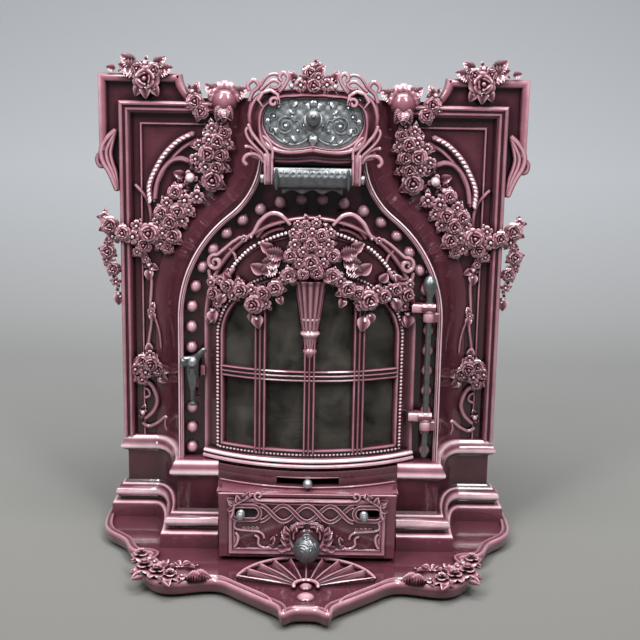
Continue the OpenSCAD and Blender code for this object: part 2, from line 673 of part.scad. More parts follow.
// Latch that hangs beside the door, seen from the front as [x, z] from its pin
module door_latch() {
    color(nickel) placed() difference() {
        translate([latch_x, 0, latch_z]) {
            bar_y(0, 0, 8, latch_y[0], latch_y[1]);
            slab(latch_y[0] + 1, latch_y[1]) polygon(smooth([
                [-8, -6], [-14, -5], [-16, 1], [-13, 7], [-6, 8], [2, 9], [10, 17], [16, 20], [18, 15], [13, 9], [8, 2],
                [8, -8], [7, -22], [4, -30], [2.6, -48], [2.6, -54], [-2.6, -54], [-2.6, -48], [-4, -30], [-7, -22], [-8, -6]
            ], 2));
            translate([0, (latch_y[0] + latch_y[1]) / 2, -60]) cylinder(h = 8, r1 = 5.4, r2 = 3, $fn = facets);
        }
        bar_y(latch_x, latch_z, pin_r + fit, latch_y[0] - 1, latch_y[1] + 1);
    }
}
module latch_pin() {
    color(nickel) placed() {
        bar_y(latch_x, latch_z, pin_r, latch_y[0] - 1, inner_y + 6);
        translate([latch_x, latch_y[0] - touch, latch_z]) rotate([90, 0, 0]) cylinder(h = 4, r1 = 6, r2 = 3.5, $fn = facets);
        bar_y(latch_x, latch_z, 5.5, inner_y, inner_y + 5);
    }
}

// Ash box: the housing in front of the plinth
box_front = -190;
box_bottom = tray_z + 7;
ledge_z = 118;
box_front_x = 121;
riser_top = door_bottom - 0.5;
panel_low = box_bottom + 5.5;
box_plan = [[box_x, floor_y], [box_x, die_y - 8], [box_front_x, box_front], [-box_front_x, box_front],
            [-box_x, die_y - 8], [-box_x, floor_y]];
lever_z = 128;
slot_x = 43;
module ash_box() {
    color(enamel) placed() difference() {
        union() {
            difference() {
                translate([0, 0, box_bottom]) linear_extrude(ledge_z - box_bottom) polygon(box_plan);
                translate([0, 0, box_bottom - 1]) linear_extrude(ledge_z - box_bottom - 4)
                    polygon([[box_x - 6, floor_y + 1], [box_x - 6, die_y - 8], [box_front_x - 6, box_front + 6],
                             [-box_front_x + 6, box_front + 6], [-box_x + 6, die_y - 8], [-box_x + 6, floor_y + 1]]);
            }
            // Riser under the door, bowed like it
            intersection() {
                difference() {
                    bow(bow_r + 12);
                    translate([0, 0, ledge_z - 6]) bow(bow_r + 6);
                }
                translate([-box_x, -250, ledge_z - 5]) cube([2 * box_x, 250 + floor_y, riser_top - ledge_z + 5]);
            }
            intersection() {
                bow(bow_r + 12);
                translate([-box_x, -250, riser_top - 5]) cube([2 * box_x, 250 + floor_y, 5]);
            }
            // Bar across the bottom of the door opening
            translate([-open_r + touch, floor_y, riser_top - 5]) cube([2 * open_r - 2 * touch, 6, 152 - riser_top + 5]);
            translate([-box_x, floor_y - 6, ledge_z - 5]) cube([8, 6, riser_top - ledge_z + 5]);
            translate([box_x - 8, floor_y - 6, ledge_z - 5]) cube([8, 6, riser_top - ledge_z + 5]);
        }
        // Opening for the drawer
        translate([-drawer_x - touch, box_front - 5, panel_low - touch])
            cube([2 * drawer_x + 2 * touch, 20, drawer_h + 2 * touch]);
        // Slot of the grate lever
        translate([-slot_x, -200, lever_z - 4.5]) cube([2 * slot_x, 100, 9]);
    }
}

// Ash drawer: its front, pan, knob and air register
panel_y = [-194, -188];
air_z = 92;
slot_half = 15.5;
slot_mid = 83.5;
stud_x = [-90, 77];
hole_xs = [-48, -16, 16, 48];
module slot_hole(x, z, half, r, y0, y1) {
    bar_y(x - half + r, z, r, y0, y1);
    bar_y(x + half - r, z, r, y0, y1);
    translate([x - half + r, y0, z - r]) cube([2 * half - 2 * r, y1 - y0, 2 * r]);
}
module twist_line(sign, y0, y1, w) {
    n = 32;
    pts = [for (i = [0:n]) let (x = -64 + 128 * i / n) [x, air_z + sign * 11 * cos(180 * x / 32)]];
    slab(y0, y1) polygon(band(pts, w));
}
module drawer_front() {
    x = drawer_x;
    color(enamel) placed() difference() {
        union() {
            translate([-x, panel_y[0] + 2, panel_low]) cube([2 * x, panel_y[1] - panel_y[0] - 2, drawer_h]);
            // Raised border
            difference() {
                translate([-x, panel_y[0], panel_low]) cube([2 * x, 3, drawer_h]);
                translate([-x + 7, panel_y[0] - 1, panel_low + 6]) cube([2 * x - 14, 3, drawer_h - 12]);
            }
            // Twisted band round the air holes
            for (s = [-1, 1]) twist_line(s, panel_y[0] - 0.5, panel_y[0] + 2.5, 3);
            for (s = [-1, 1]) difference() {
                slot_hole(s * slot_mid, air_z, slot_half + 5, 10, panel_y[0] - 0.5, panel_y[0] + 2.5);
                slot_hole(s * slot_mid, air_z, slot_half + 2, 7, panel_y[0] - 1, panel_y[0] + 3);
            }
            // Guides of the register
            for (z = [air_z - 15.5, air_z + 12.5]) translate([-97, panel_y[1] - 1, z]) cube([194, 6, 3]);
            for (z = [air_z - 12.6, air_z + 9.6]) translate([-97, panel_y[1] + 3.2, z]) cube([194, 1.8, 3]);
            bar_y(0, 54, 17, panel_y[0] - 1, panel_y[0] + 3);
            both() translate([x - 22, panel_y[0] - 2, 36]) cube([10, 5, 34]);
        }
        for (hx = hole_xs) bar_y(hx, air_z, air_r, -210, -180);
        for (s = [-1, 1]) slot_hole(s * slot_mid, air_z, slot_half, 5.5, -210, -180);
        bar_y(0, 54, 4, -210, -180);
        for (sx = [-60, 60]) bar_y(sx, 54, 2.5, panel_y[0] + 4, -180);
    }
}
register_y = panel_y[1] + touch;
module air_register() {
    color(iron) placed() difference() {
        translate([-95, register_y, air_z - 12.2]) cube([178, 2.4, 24.4]);
        for (hx = hole_xs) bar_y(hx, air_z, air_r, -210, -170);
        for (sx = stud_x) bar_y(sx, air_z, 2.5, -210, -170);
    }
}
module register_studs() {
    color(nickel) placed() for (sx = stud_x) {
        bar_y(sx, air_z, 2.5, panel_y[0] - 4, register_y + 2.4);
        translate([sx, panel_y[0] - 1, air_z]) rotate([90, 0, 0]) rotate_extrude($fn = facets)
            polygon([[0, 0], [4.6, 0], [5.4, 1.5], [5.4, 3], [4.6, 4], [5.4, 5], [5.4, 7], [4.6, 8], [5, 9], [5, 12], [3.4, 14], [0, 14.6]]);
    }
}
pan_x = 96;
pan_back = 58;
pan_z = panel_low + 2;
pan_h = 40;
rail_top = pan_z - touch;
module ash_pan() {
    color(iron) placed() {
        difference() {
            translate([-pan_x, panel_y[1], pan_z]) cube([2 * pan_x, pan_back - panel_y[1], pan_h]);
            translate([-pan_x + 2.5, panel_y[1] + 2.5, pan_z + 2.5]) cube([2 * pan_x - 5, pan_back - panel_y[1] - 5, pan_h]);
        }
    }
}
module drawer_knob() {
    color(nickel) placed() translate([0, panel_y[0] - 1, 54]) rotate([90, 0, 0]) {
        translate([0, 0, -7]) cylinder(h = 9, r = 4 - fit, $fn = facets);
        rotate_extrude($fn = facets) polygon(concat(
            [[0, 0], [9, 0]], arc([0, 9], 11, -40, 38, 6),
            [[7, 18]], arc([0, 33], 18, -60, 90, 12)
        ));
    }
}
module drawer_rails() {
    color(iron) placed() both() {
        translate([pan_x - 12, -176, tray_z]) cube([8, 176 + 100, rail_top - tray_z]);
        translate([pan_x - 4, -176, tray_z]) cube([3.5, 176 + 100, 2]);
    }
}

// Grate, its lever and its carrier
grate_y = 12;
grate_r = 86;
carrier_z = 140;
module grate() {
    color(iron) placed() translate([0, grate_y, 0]) difference() {
        union() {
            translate([0, 0, carrier_z + 6 + touch]) cylinder(h = 9, r = grate_r, $fn = facets);
            translate([0, 0, lever_z - 6]) cylinder(h = 25, r = 8, $fn = facets);
        }
        for (i = [-3:3]) let (w = sqrt(pow(grate_r - 10, 2) - pow(i * 22, 2)))
            if (i != 0) translate([-w, i * 22 - 5, carrier_z]) cube([2 * w, 10, 30]);
        rotate([90, 0, 0]) translate([0, lever_z, 0]) cylinder(h = 20, r = 3 + fit, $fn = facets);
    }
}
knob_y = -176;
module grate_lever() {
    color(iron) placed() bar_y(0, lever_z, 3, knob_y + 4, grate_y - 1);
}
module grate_knob() {
    color(nickel) placed() difference() {
        union() {
            translate([0, knob_y, lever_z]) sphere(r = 6.5, $fn = facets);
            bar_y(0, lever_z, 4.2, knob_y, knob_y + 8);
        }
        bar_y(0, lever_z, 3, knob_y + 4, knob_y + 20);
    }
}
module grate_carrier() {
    inside = casing_x - plate_t;
    color(iron) placed() difference() {
        translate([-inside + touch, inner_y + 8, carrier_z]) cube([2 * inside - 2 * touch, casing_back_y - plate_t - inner_y - 8 - touch, 6]);
        difference() {
            translate([0, grate_y, carrier_z - 1]) cylinder(h = 8, r = grate_r - 8, $fn = facets);
            translate([-12, grate_y - grate_r, carrier_z - 2]) cube([24, 2 * grate_r, 10]);
        }
        translate([0, grate_y, carrier_z - 1]) cylinder(h = 8, r = 8 + fit, $fn = facets);
        both() translate([rim_r - 12, inner_y, carrier_z - 1]) cube([100, wall - inner_y, 8]);
    }
}
basket_r = 98;
basket_h = 44;
basket_slots = 15;
module fire_basket() {
    color(iron) placed() translate([0, grate_y, carrier_z + 6]) difference() {
        cylinder(h = basket_h, r = basket_r, $fn = facets);
        translate([0, 0, -1]) cylinder(h = basket_h + 2, r = basket_r - 8, $fn = facets);
        translate([-200, -200, 8]) cube([400, 150, 100]);
        for (i = [0:basket_slots - 1]) rotate(-24 + 228 * i / (basket_slots - 1))
            translate([basket_r - 12, -5, 8]) cube([16, 10, basket_h - 18]);
    }
}
brick_top = 430;
module brick_block(x, y, w, d) {
    color(brick) placed() translate([x, y, carrier_z + 6]) cube([w, d, brick_top - carrier_z - 6]);
}
brick_t = 22;
brick_end = casing_back_y - plate_t - touch;
module brick_back() {
    w = casing_x - plate_t - touch;
    brick_block(-w, brick_end - brick_t, 2 * w, brick_t);
}
module brick_right() { brick_block(casing_x - plate_t - touch - brick_t, wall + 8, brick_t, brick_end - brick_t - wall - 8 - touch); }
module brick_left() { brick_block(-casing_x + plate_t + touch, wall + 8, brick_t, brick_end - brick_t - wall - 8 - touch); }

// Iron casing behind the front
casing_top_z = shoulder_top - 8;
module casing_side() {
    translate([casing_x - plate_t, wall, tray_z]) cube([plate_t, casing_d - plate_t, casing_top_z - tray_z]);
    translate([casing_x - plate_t, wall, plinth_z]) cube([flange_w, plate_t, casing_top_z - plinth_z]);
    for (z = [200, 330, 460, 590]) translate([casing_x - eps, wall + 14, z]) cube([4, casing_d - plate_t - 24, 6]);
}
module casing_right() { color(iron) placed() casing_side(); }
module casing_left() { color(iron) placed() mirror([1, 0, 0]) casing_side(); }
flue_z = 540;
module casing_back() {
    color(iron) placed() difference() {
        union() {
            translate([-casing_x, casing_back_y - plate_t, tray_z]) cube([2 * casing_x, plate_t, casing_top_z - tray_z]);
            for (x = [-130, 0, 130]) translate([x - 3, casing_back_y - eps, 60]) cube([6, 4, 380]);
        }
        bar_y(0, flue_z, flue_r + 2, casing_back_y - 20, casing_back_y + 20);
        for (a = [45:90:315]) bar_y((flue_r + 14) * cos(a), flue_z + (flue_r + 14) * sin(a), 3.1, casing_back_y - 20, casing_back_y + 20);
    }
}
module casing_top() {
    color(iron) placed() translate([-casing_x, wall, casing_top_z]) cube([2 * casing_x, casing_d, plate_t]);
}
module flue_collar() {
    color(iron) placed() difference() {
        union() {
            bar_y(0, flue_z, flue_r + 5, casing_back_y, casing_back_y + collar_l);
            bar_y(0, flue_z, flue_r + 24, casing_back_y, casing_back_y + 6);
            bar_y(0, flue_z, flue_r + 7, casing_back_y + collar_l - 8, casing_back_y + collar_l);
        }
        bar_y(0, flue_z, flue_r, casing_back_y - 1, casing_back_y + collar_l + 1);
        for (a = [45:90:315]) bar_y((flue_r + 14) * cos(a), flue_z + (flue_r + 14) * sin(a), 3.1, casing_back_y - 20, casing_back_y + 20);
    }
}
module collar_bolts() {
    color(iron) placed() for (a = [45:90:315]) {
        x = (flue_r + 14) * cos(a);
        z = flue_z + (flue_r + 14) * sin(a);
        bar_y(x, z, 3, casing_back_y - plate_t - 2, casing_back_y + 8);
        translate([x, casing_back_y + 6 + 5, z]) rotate([90, 0, 0]) cylinder(h = 5, r = 6, $fn = 6);
    }
}
module casing_bolts() {
    color(iron) placed() for (s = [-1, 1], z = [180, 310, 440, 570])
        translate([s * (casing_x + 18), wall + plate_t + 5, z]) rotate([90, 0, 0]) cylinder(h = 5, r = 6, $fn = 6);
}

hearth_plate();
sole_plate();
plinth_left();
plinth_right();
wing_left();
wing_right();
jamb_left();
jamb_right();
rebate_left();
rebate_right();
rebate_arch();
ball_strip_left();
ball_strip_right();
ball_arch();
hinge_lugs();
latch_boss();
arch_cove_left();
arch_cove_right();
arch_head();
hopper_chute();
hopper_hinge_bar();
hopper_hinge_pin();
hopper_door();
hopper_door_plate();
hopper_knob();
fire_door();
mica_panes();
mica_frame();
mica_screws();
hinge_rod();
door_catch();
door_latch();
latch_pin();
ash_box();
drawer_front();
ash_pan();
drawer_knob();
drawer_rails();
air_register();
register_studs();
grate();
grate_lever();
grate_knob();
grate_carrier();
fire_basket();
brick_back();
brick_left();
brick_right();
casing_left();
casing_right();
casing_back();
casing_top();
flue_collar();
collar_bolts();
casing_bolts();
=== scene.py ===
import math
import bpy
import bmesh
import numpy as np
from mathutils import Matrix, Vector
from mathutils.geometry import tessellate_polygon


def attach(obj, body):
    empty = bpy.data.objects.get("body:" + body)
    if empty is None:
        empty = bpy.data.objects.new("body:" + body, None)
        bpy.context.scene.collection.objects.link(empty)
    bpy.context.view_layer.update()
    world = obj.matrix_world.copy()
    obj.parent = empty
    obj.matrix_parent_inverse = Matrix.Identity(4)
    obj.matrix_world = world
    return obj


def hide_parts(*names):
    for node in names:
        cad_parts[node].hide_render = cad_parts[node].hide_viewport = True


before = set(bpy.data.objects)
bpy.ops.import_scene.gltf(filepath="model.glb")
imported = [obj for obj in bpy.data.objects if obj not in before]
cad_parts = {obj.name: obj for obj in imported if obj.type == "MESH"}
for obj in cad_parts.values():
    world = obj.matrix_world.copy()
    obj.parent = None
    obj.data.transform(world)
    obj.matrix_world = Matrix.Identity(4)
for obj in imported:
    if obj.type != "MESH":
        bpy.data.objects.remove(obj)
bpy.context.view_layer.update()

bl_info = {
    "name": "Enamelled stove",
    "version": (1, 0, 0),
    "blender": (4, 5, 0),
    "location": "3D View > Sidebar > Stove",
    "description": "Casts, enamels and lights an enamelled iron stove with a bowed mica door",
    "category": "Object",
}

FACE = 65.0       # the pilasters' face lies this far behind the middle of the footprint, in mm

# Lines and places
# Everything is drawn in millimetres on the stove's own face: x to the right, y back from the
# pilasters' face, z up from the floor.


def row_frame(x, y, z):
    """Millimetres on the stove's face to metres in the frame of the CAD."""
    x, y, z = np.broadcast_arrays(x, y, z)
    return np.stack([x, y + FACE, z], axis=-1) * 0.001


def smooth_line(points, steps=8):
    """A smooth line through points; extra columns, such as a width, run along with it."""
    p = np.asarray(points, float)
    out = []
    for i in range(len(p) - 1):
        a, b, c, d = p[max(i - 1, 0)], p[i], p[i + 1], p[min(i + 2, len(p) - 1)]
        for k in range(steps):
            t = k / steps
            out.append(0.5 * (2 * b + (c - a) * t + (2 * a - 5 * b + 4 * c - d) * t * t
                              + (3 * b - a - 3 * c + d) * t ** 3))
    out.append(p[-1])
    return np.array(out)


def aside(path, d, closed=False):
    """The path moved to its left by d, with mitred corners."""
    p = np.asarray(path, float)
    before, after = np.roll(p, 1, 0), np.roll(p, -1, 0)
    if not closed:
        before[0], after[-1] = p[0], p[-1]

    def unit(v):
        return v / np.maximum(np.linalg.norm(v, axis=1, keepdims=True), 1e-9)

    a, b = unit(p - before), unit(after - p)
    if not closed:
        a[0], b[-1] = b[0], a[-1]
    left = unit(np.stack([-a[:, 1] - b[:, 1], a[:, 0] + b[:, 0]], 1))
    across = np.stack([-a[:, 1], a[:, 0]], 1)
    return p + left * (d / np.maximum((left * across).sum(1), 0.35))[:, None]


def refined(path, step, closed=False):
    """The path with points no further apart than step."""
    p = np.asarray(path, float)
    q = np.vstack([p, p[:1]]) if closed else p
    out = []
    for a, b in zip(q[:-1], q[1:]):
        n = max(1, int(math.ceil(np.linalg.norm((b - a)[:2]) / step)))
        out += [a + (b - a) * k / n for k in range(n)]
    if not closed:
        out.append(q[-1])
    return np.array(out)


def arc(cx, cy, r, a0, a1, n):
    """n steps of a round line from a0 to a1 degrees."""
    a = np.radians(np.linspace(a0, a1, n + 1))
    return np.stack([cx + r * np.cos(a), cy + r * np.sin(a)], 1)


def both_halves(half):
    """A closed line from its right-hand half; a point on the middle line isn't doubled."""
    h = np.asarray(half, float)
    back = h[::-1] * [-1, 1]
    return np.vstack([h, back[back[:, 0] < -0.01]])


def on_face(u, v, w):
    """A place on the stove's face: u across, v up, w out."""
    return row_frame(u, -w, v)


def on_level(z):
    """Places on a level ground at height z: u across, v back, w up."""
    return lambda u, v, w: row_frame(u, v, z + w)


def on_front(y):
    """Places on an upright ground at depth y: u across, v up, w out."""
    return lambda u, v, w: row_frame(u, y - w, v)


def length_along(p):
    """The length of a line up to each of its points."""
    return np.concatenate([[0], np.cumsum(np.linalg.norm(np.diff(p[:, :2], axis=0), axis=1))])


def even_points(line, n):
    """n points at equal shares of a line's length."""
    p = np.asarray(line, float)
    d = length_along(p)
    at = np.linspace(0, d[-1], n)
    return np.stack([np.interp(at, d, p[:, 0]), np.interp(at, d, p[:, 1])], 1)


# Sizes shared by the pieces, in millimetres on the stove's face

# Wings: half widths of the pilaster and the ear, top and foot of the ear, top of the shoulder,
# and the casting's thickness
PILASTER, EAR = 281.0, 310.0
EAR_TOP, EAR_LOW, SHOULDER = 680.0, 576.0, 648.0
WALL = 9.0
# Channel, as depths: its raised front, the floor under the balls and the back of the rebate;
# then the radius of the rebate's opening
FRONT, FLOOR_Y, INNER_Y = -110.0, -96.0, -90.0
REBATE_R = 139.0
# Rim: radius round the arch, height of the arch's centre, half width at the neck, width of the
# cove beside it, and the angle from upright at which the arch turns into the neck
RIM_R, ARCH_Z, NECK, COVE, TURN = 184.0, 345.0, 72.0, 48.0, 38.0
NECK_R = (RIM_R * math.sin(math.radians(TURN)) - NECK) / (1 - math.sin(math.radians(TURN)))
# Balls: radius of their row, how far out from the face they sit, and their step in degrees
BALL_R, BALL_DEPTH, BALL_STEP = RIM_R - 17, 100.0, 10
# Tops of the hearth tray and of the plinths
TRAY_Z, PLINTH_Z = 20.0, 143.0
# The door's bow: radius, front and centre; then the radii of the riser's front and back below
BOW_R, BOW_Y = 240.0, -156.0
BOW_C = BOW_Y + BOW_R
RISER_R, RISER_BACK_R = 252.0, 246.0
# Door: half width, foot and back, and the top of the riser under it
DOOR_R, DOOR_LOW, DOOR_BACK = 149.0, 143.5, -96.5
RISER_TOP = DOOR_LOW - 0.5
# Window: half width, foot, spring and rise of its arch, and the glazing bars
WINDOW, WIN_LOW, WIN_SPRING, WIN_RISE = 122.0, 169.0, 324.0, 90.0
BARS, CROSS_Z = (-68.0, 0.0, 68.0), 274.0
# Hinge rod as (x, y), latch pin as (x, z), and the radius of the eyes round both
HINGE = (164.0, -121.0)
LATCH = (-163.0, 284.0)
EYE_R = 8
# Hinge bar of the feed door: how far out its back lies, and its middle height
FEED_BACK, BAR_Z = 127, 543
# Drawer: the face of its front, the heights of its knob and of the air holes
DRAWER_Y, KNOB_Z, AIR_Z = -192, 54, 92


def bow_at(x, r=BOW_R):
    """How far back a bow of radius r lies at x."""
    return BOW_C - np.sqrt(np.maximum(r * r - np.asarray(x, float) ** 2, 1.0))


def on_bow(u, v, w):
    """A place on the door's bow: u across, v up, w out along the bow's own normal."""
    u = np.asarray(u, float)
    nx = u / BOW_R
    ny = -np.sqrt(1 - np.minimum(nx * nx, 0.99))
    return row_frame(u + nx * w, bow_at(u) + ny * w, v)


def rim_line(d, z0, z1, n=28):
    """The raised rim's line on the right, moved out by d, from z0 up to z1."""
    s = math.radians(TURN)
    c = (RIM_R + NECK_R) * np.array([math.sin(s), math.cos(s)]) + [0, ARCH_Z]
    if z1 <= ARCH_Z:
        return np.array([[RIM_R + d, z0], [RIM_R + d, z1]])
    parts = [arc(0, ARCH_Z, RIM_R + d, 0, 90 - TURN, n)]
    b = np.radians((90 - TURN) * (1 - np.arange(1, 17) / 16))
    parts.append(c - (NECK_R - d) * np.stack([np.cos(b), np.sin(b)], 1))
    parts.append([[NECK + d, z1]])
    if z0 < ARCH_Z:
        parts.insert(0, [[RIM_R + d, z0]])
    return np.vstack(parts)


# Castings


def border(n, m):
    """Indices round the edge of a grid of n rows and m columns."""
    return ([i * m for i in range(n)] + [(n - 1) * m + j for j in range(1, m)]
            + [i * m + m - 1 for i in range(n - 2, -1, -1)] + list(range(m - 2, 0, -1)))


# Broad mouldings and stems pale less over their edges than the small flowers do
GROUND_TONE, MOULDING_SHARE, STEM_SHARE = 0.42, 0.62, 0.86


def calm(tones):
    """The calmer tones of a broad moulding."""
    return GROUND_TONE + (np.asarray(tones, float) - GROUND_TONE) * MOULDING_SHARE


class Casting:
    """Gathers the surfaces of one cast piece. Each point has a tone: 0 where the enamel pools
    dark in a hollow, with painted shade there too, 1 where it runs thin over an edge, with a
    painted highlight there too."""

    def __init__(self):
        self.points, self.tones, self.faces, self.count = [], [], [], 0

    def add(self, points, faces, tones=0.5):
        """Takes in loose points in metres and the faces between them."""
        points = np.asarray(points, float).reshape(-1, 3)
        self.points.append(points)
        self.tones.append(np.broadcast_to(np.asarray(tones, float), (len(points),)))
        k = self.count
        self.faces += [[i + k for i in f] for f in faces]
        self.count += len(points)

    def grid(self, points, tones, wrap_rows=False, wrap_cols=False, caps=False):
        """A surface through rows by columns of points, closed round and capped as asked."""
        n, m = points.shape[:2]
        faces = []
        for i in range(n if wrap_rows else n - 1):
            k = (i + 1) % n
            for j in range(m if wrap_cols else m - 1):
                q = (j + 1) % m
                faces.append((i * m + j, i * m + q, k * m + q, k * m + j))
        if caps and wrap_cols:
            faces.append(tuple(range(m)))
            faces.append(tuple((n - 1) * m + j for j in reversed(range(m))))
        self.add(points, faces, np.broadcast_to(tones, (n, m)).ravel())

    def run(self, path, profile, place, closed=False):
        """A moulding: a closed profile of (aside, out, tone) along a path."""
        prof = np.asarray(profile, float)
        rows = np.stack([aside(path, q[0], closed) for q in prof], 1)
        pts = place(rows[..., 0], rows[..., 1], prof[None, :, 1])
        self.grid(pts, calm(prof[None, :, 2]), wrap_rows=closed, wrap_cols=True, caps=not closed)

    def between(self, outer, inner, profile, place, closed=True):
        """A closed profile of (share from outer to inner, out, tone) between two matching lines."""
        prof = np.asarray(profile, float)
        o, i = np.asarray(outer)[:, None, :], np.asarray(inner)[:, None, :]
        t = prof[None, :, 0, None]
        rows = o * (1 - t) + i * t
        pts = place(rows[..., 0], rows[..., 1], prof[None, :, 1])
        self.grid(pts, calm(prof[None, :, 2]), wrap_rows=closed, wrap_cols=True, caps=not closed)

    def plate(self, outline, w0, w1, place, tone=0.5, edge=1.2, edge_tone=None):
        """A flat plate with chamfered front edges between depths w0 (back) and w1 (front)."""
        o = np.asarray(outline, float)
        if np.sum(o[:, 0] * np.roll(o[:, 1], -1) - np.roll(o[:, 0], -1) * o[:, 1]) < 0:
            o = o[::-1]
        n = len(o)
        loops = [(o, w0), (o, w1 - edge), (aside(o, edge, True), w1)]
        pts = np.vstack([place(q[:, 0], q[:, 1], np.full(n, w)) for q, w in loops])
        faces = []
        for i in (0, n):
            faces += [(i + j, i + (j + 1) % n, i + n + (j + 1) % n, i + n + j) for j in range(n)]
        tri = tessellate_polygon([[Vector((*p, 0)) for p in loops[2][0]]])
        faces += [tuple(2 * n + i for i in t) for t in tri]
        faces += [tuple(reversed(t)) for t in tri]
        t = np.full(3 * n, tone)
        t[n:2 * n] = tone if edge_tone is None else edge_tone
        self.add(pts, faces, t)

    def tube(self, line, radii, place, flat=1.0, sides=8, tone=0.75, low=0.3, lift=0.0, taper=True):
        """A rounded stem along a line of (u, v) or (u, v, w), pale on its crown, dark at its foot:
        thin enamel with a painted highlight on the crown, pooled enamel with painted shade at the foot.
        """
        p = np.asarray(line, float)
        if p.shape[1] == 2:
            p = np.hstack([p, np.zeros((len(p), 1))])
        r = np.broadcast_to(np.asarray(radii, float), (len(p),)).copy()
        if taper:
            r[0] *= 0.35
            r[-1] *= 0.35
        d = np.gradient(p[:, :2], axis=0)
        d /= np.maximum(np.linalg.norm(d, axis=1, keepdims=True), 1e-9)
        left = np.stack([-d[:, 1], d[:, 0]], 1)
        a = 2 * math.pi * (np.arange(sides) + 0.5) / sides
        u = p[:, None, 0] + left[:, None, 0] * np.cos(a) * r[:, None]
        v = p[:, None, 1] + left[:, None, 1] * np.cos(a) * r[:, None]
        w = p[:, None, 2] + lift + np.sin(a)[None] * r[:, None] * flat
        # Tones rise from the foot to the crown: painted shade below, painted highlight on top
        tones = low + (tone * STEM_SHARE - low) * (0.5 + 0.5 * np.sin(a))[None] * np.ones_like(u)
        self.grid(place(u, v, w), tones, wrap_cols=True, caps=True)

    def stems(self, table, place, low=0.3, steps=6):
        """Smooth stems from a table of (radius, lift, tone, line)."""
        for radius, lift, tone, line in table:
            self.tube(smooth_line(line, steps), radius, place, lift=lift, tone=tone, low=low)

    def stamp(self, pattern, at, size, turn=0.0, place=on_face, lift=0.0, high=1.0, shift=0.0):
        """Presses a pattern onto the surface at (u, v), turned by degrees from upright."""
        p = pattern["points"] * [size, size, size * high]
        c, s = math.cos(math.radians(turn)), math.sin(math.radians(turn))
        u = at[0] + p[:, 0] * c - p[:, 1] * s
        v = at[1] + p[:, 0] * s + p[:, 1] * c
        self.add(place(u, v, p[:, 2] + lift), pattern["faces"], pattern["tones"] + shift)

    def join(self, other):
        """Takes in everything another casting has gathered."""
        k = self.count
        self.points += other.points
        self.tones += other.tones
        self.faces += [[i + k for i in f] for f in other.faces]
        self.count += other.count

    def box(self, a, b, tone=0.4):
        """A plain block between two corners (x, y, z)."""
        lo, hi = np.minimum(a, b), np.maximum(a, b)
        outline = [(lo[0], lo[2]), (hi[0], lo[2]), (hi[0], hi[2]), (lo[0], hi[2])]
        self.plate(outline, -hi[1], -lo[1], on_face, tone, 0.5, min(1, tone + 0.3))

    def leg(self, across, side):
        """A plate seen from the side as (y, z), between two values of x."""
        self.plate(side, across[0], across[1], lambda u, v, w: row_frame(w, u, v), 0.6, 1.2, 0.95)

    def ring_plate(self, outer, inner, w0, w1, place, tone):
        """A flat plate between two open lines that run the same way."""
        profile = [(0, w0, tone), (1, w0, tone), (1, w1, tone), (0, w1, tone)]
        self.between(even_points(outer, 120), even_points(inner, 120), profile, place, closed=False)

    def sheet(self, top, bottom, tones):
        """A closed sheet between two grids of points."""
        n, m = top.shape[:2]
        k = n * m
        faces = []
        for i in range(n - 1):
            for j in range(m - 1):
                a = i * m + j
                faces.append((a, a + 1, a + m + 1, a + m))
                faces.append((k + a, k + a + m, k + a + m + 1, k + a + 1))
        rim = border(n, m)
        for a, b in zip(rim, rim[1:] + rim[:1]):
            faces.append((b, a, k + a, k + b))
        t = np.broadcast_to(tones, (n, m)).ravel()
        points = np.concatenate([top.reshape(-1, 3), bottom.reshape(-1, 3)])
        self.add(points, faces, np.concatenate([t, t * 0.4]))

    def ring_sheet(self, top, bottom, tones):
        """The same for a disc whose rows run from its middle to its edge and close round."""
        n, m = top.shape[:2]
        k = n * m
        faces = []
        for i in range(n - 1):
            for j in range(m):
                a, b = i * m + j, i * m + (j + 1) % m
                faces.append((a, b, b + m, a + m))
                faces.append((k + a, k + a + m, k + b + m, k + b))
        for j in range(m):
            a, b = (n - 1) * m + j, (n - 1) * m + (j + 1) % m
            faces.append((a, b, k + b, k + a))
        self.add(np.concatenate([top.reshape(-1, 3), bottom.reshape(-1, 3)]), faces, tones)

    def holed_plate(self, outline, holes, w0, w1, place, tone):
        """A flat plate with holes cut through it."""
        loops = [np.asarray(outline, float)] + [np.asarray(h, float) for h in holes]
        flat = np.vstack(loops)
        n = len(flat)
        tri = tessellate_polygon([[Vector((*q, 0)) for q in lp] for lp in loops])
        pts = np.vstack([place(flat[:, 0], flat[:, 1], np.full(n, w)) for w in (w0, w1)])
        faces = [tuple(i + n for i in t) for t in tri] + [tuple(reversed(t)) for t in tri]
        k = 0
        for lp in loops:
            m = len(lp)
            faces += [(k + j, k + (j + 1) % m, n + k + (j + 1) % m, n + k + j) for j in range(m)]
            k += m
        self.add(pts, faces, tone)

    def mirrored(self):
        """The same casting for the other side of the stove."""
        other = Casting()
        other.points = [p * [-1, 1, 1] for p in self.points]
        other.tones, other.count = self.tones, self.count
        other.faces = [f[::-1] for f in self.faces]
        return other

    def finish(self, name, body, finish, replaces=(), angle=40):
        """Makes the piece, on its body and in place of the CAD nodes that it replaces."""
        mesh = bpy.data.meshes.new(name)
        mesh.from_pydata(np.vstack(self.points).tolist(), [], self.faces)
        tone = mesh.attributes.new("tone", "FLOAT", "POINT")
        tone.data.foreach_set("value", np.clip(np.concatenate(self.tones), 0, 1))
        finish_mesh(mesh, name, body, finish, replaces, angle)


def finish_mesh(mesh, name, body, finish, replaces=(), angle=40, recalc=True):
    """Makes an object of a mesh that lies in its place, gives it its finish and its body."""
    if recalc:
        bm = bmesh.new()
        bm.from_mesh(mesh)
        bmesh.ops.recalc_face_normals(bm, faces=bm.faces)
        bm.to_mesh(mesh)
        bm.free()
    ob = bpy.data.objects.new(name, mesh)
    bpy.context.scene.collection.objects.link(ob)
    select_only(ob)
    bpy.ops.object.shade_smooth_by_angle(angle=math.radians(angle))
    mesh.materials.append(finish_material(finish))
    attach(ob, body)
    if replaces:
        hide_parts(*replaces)


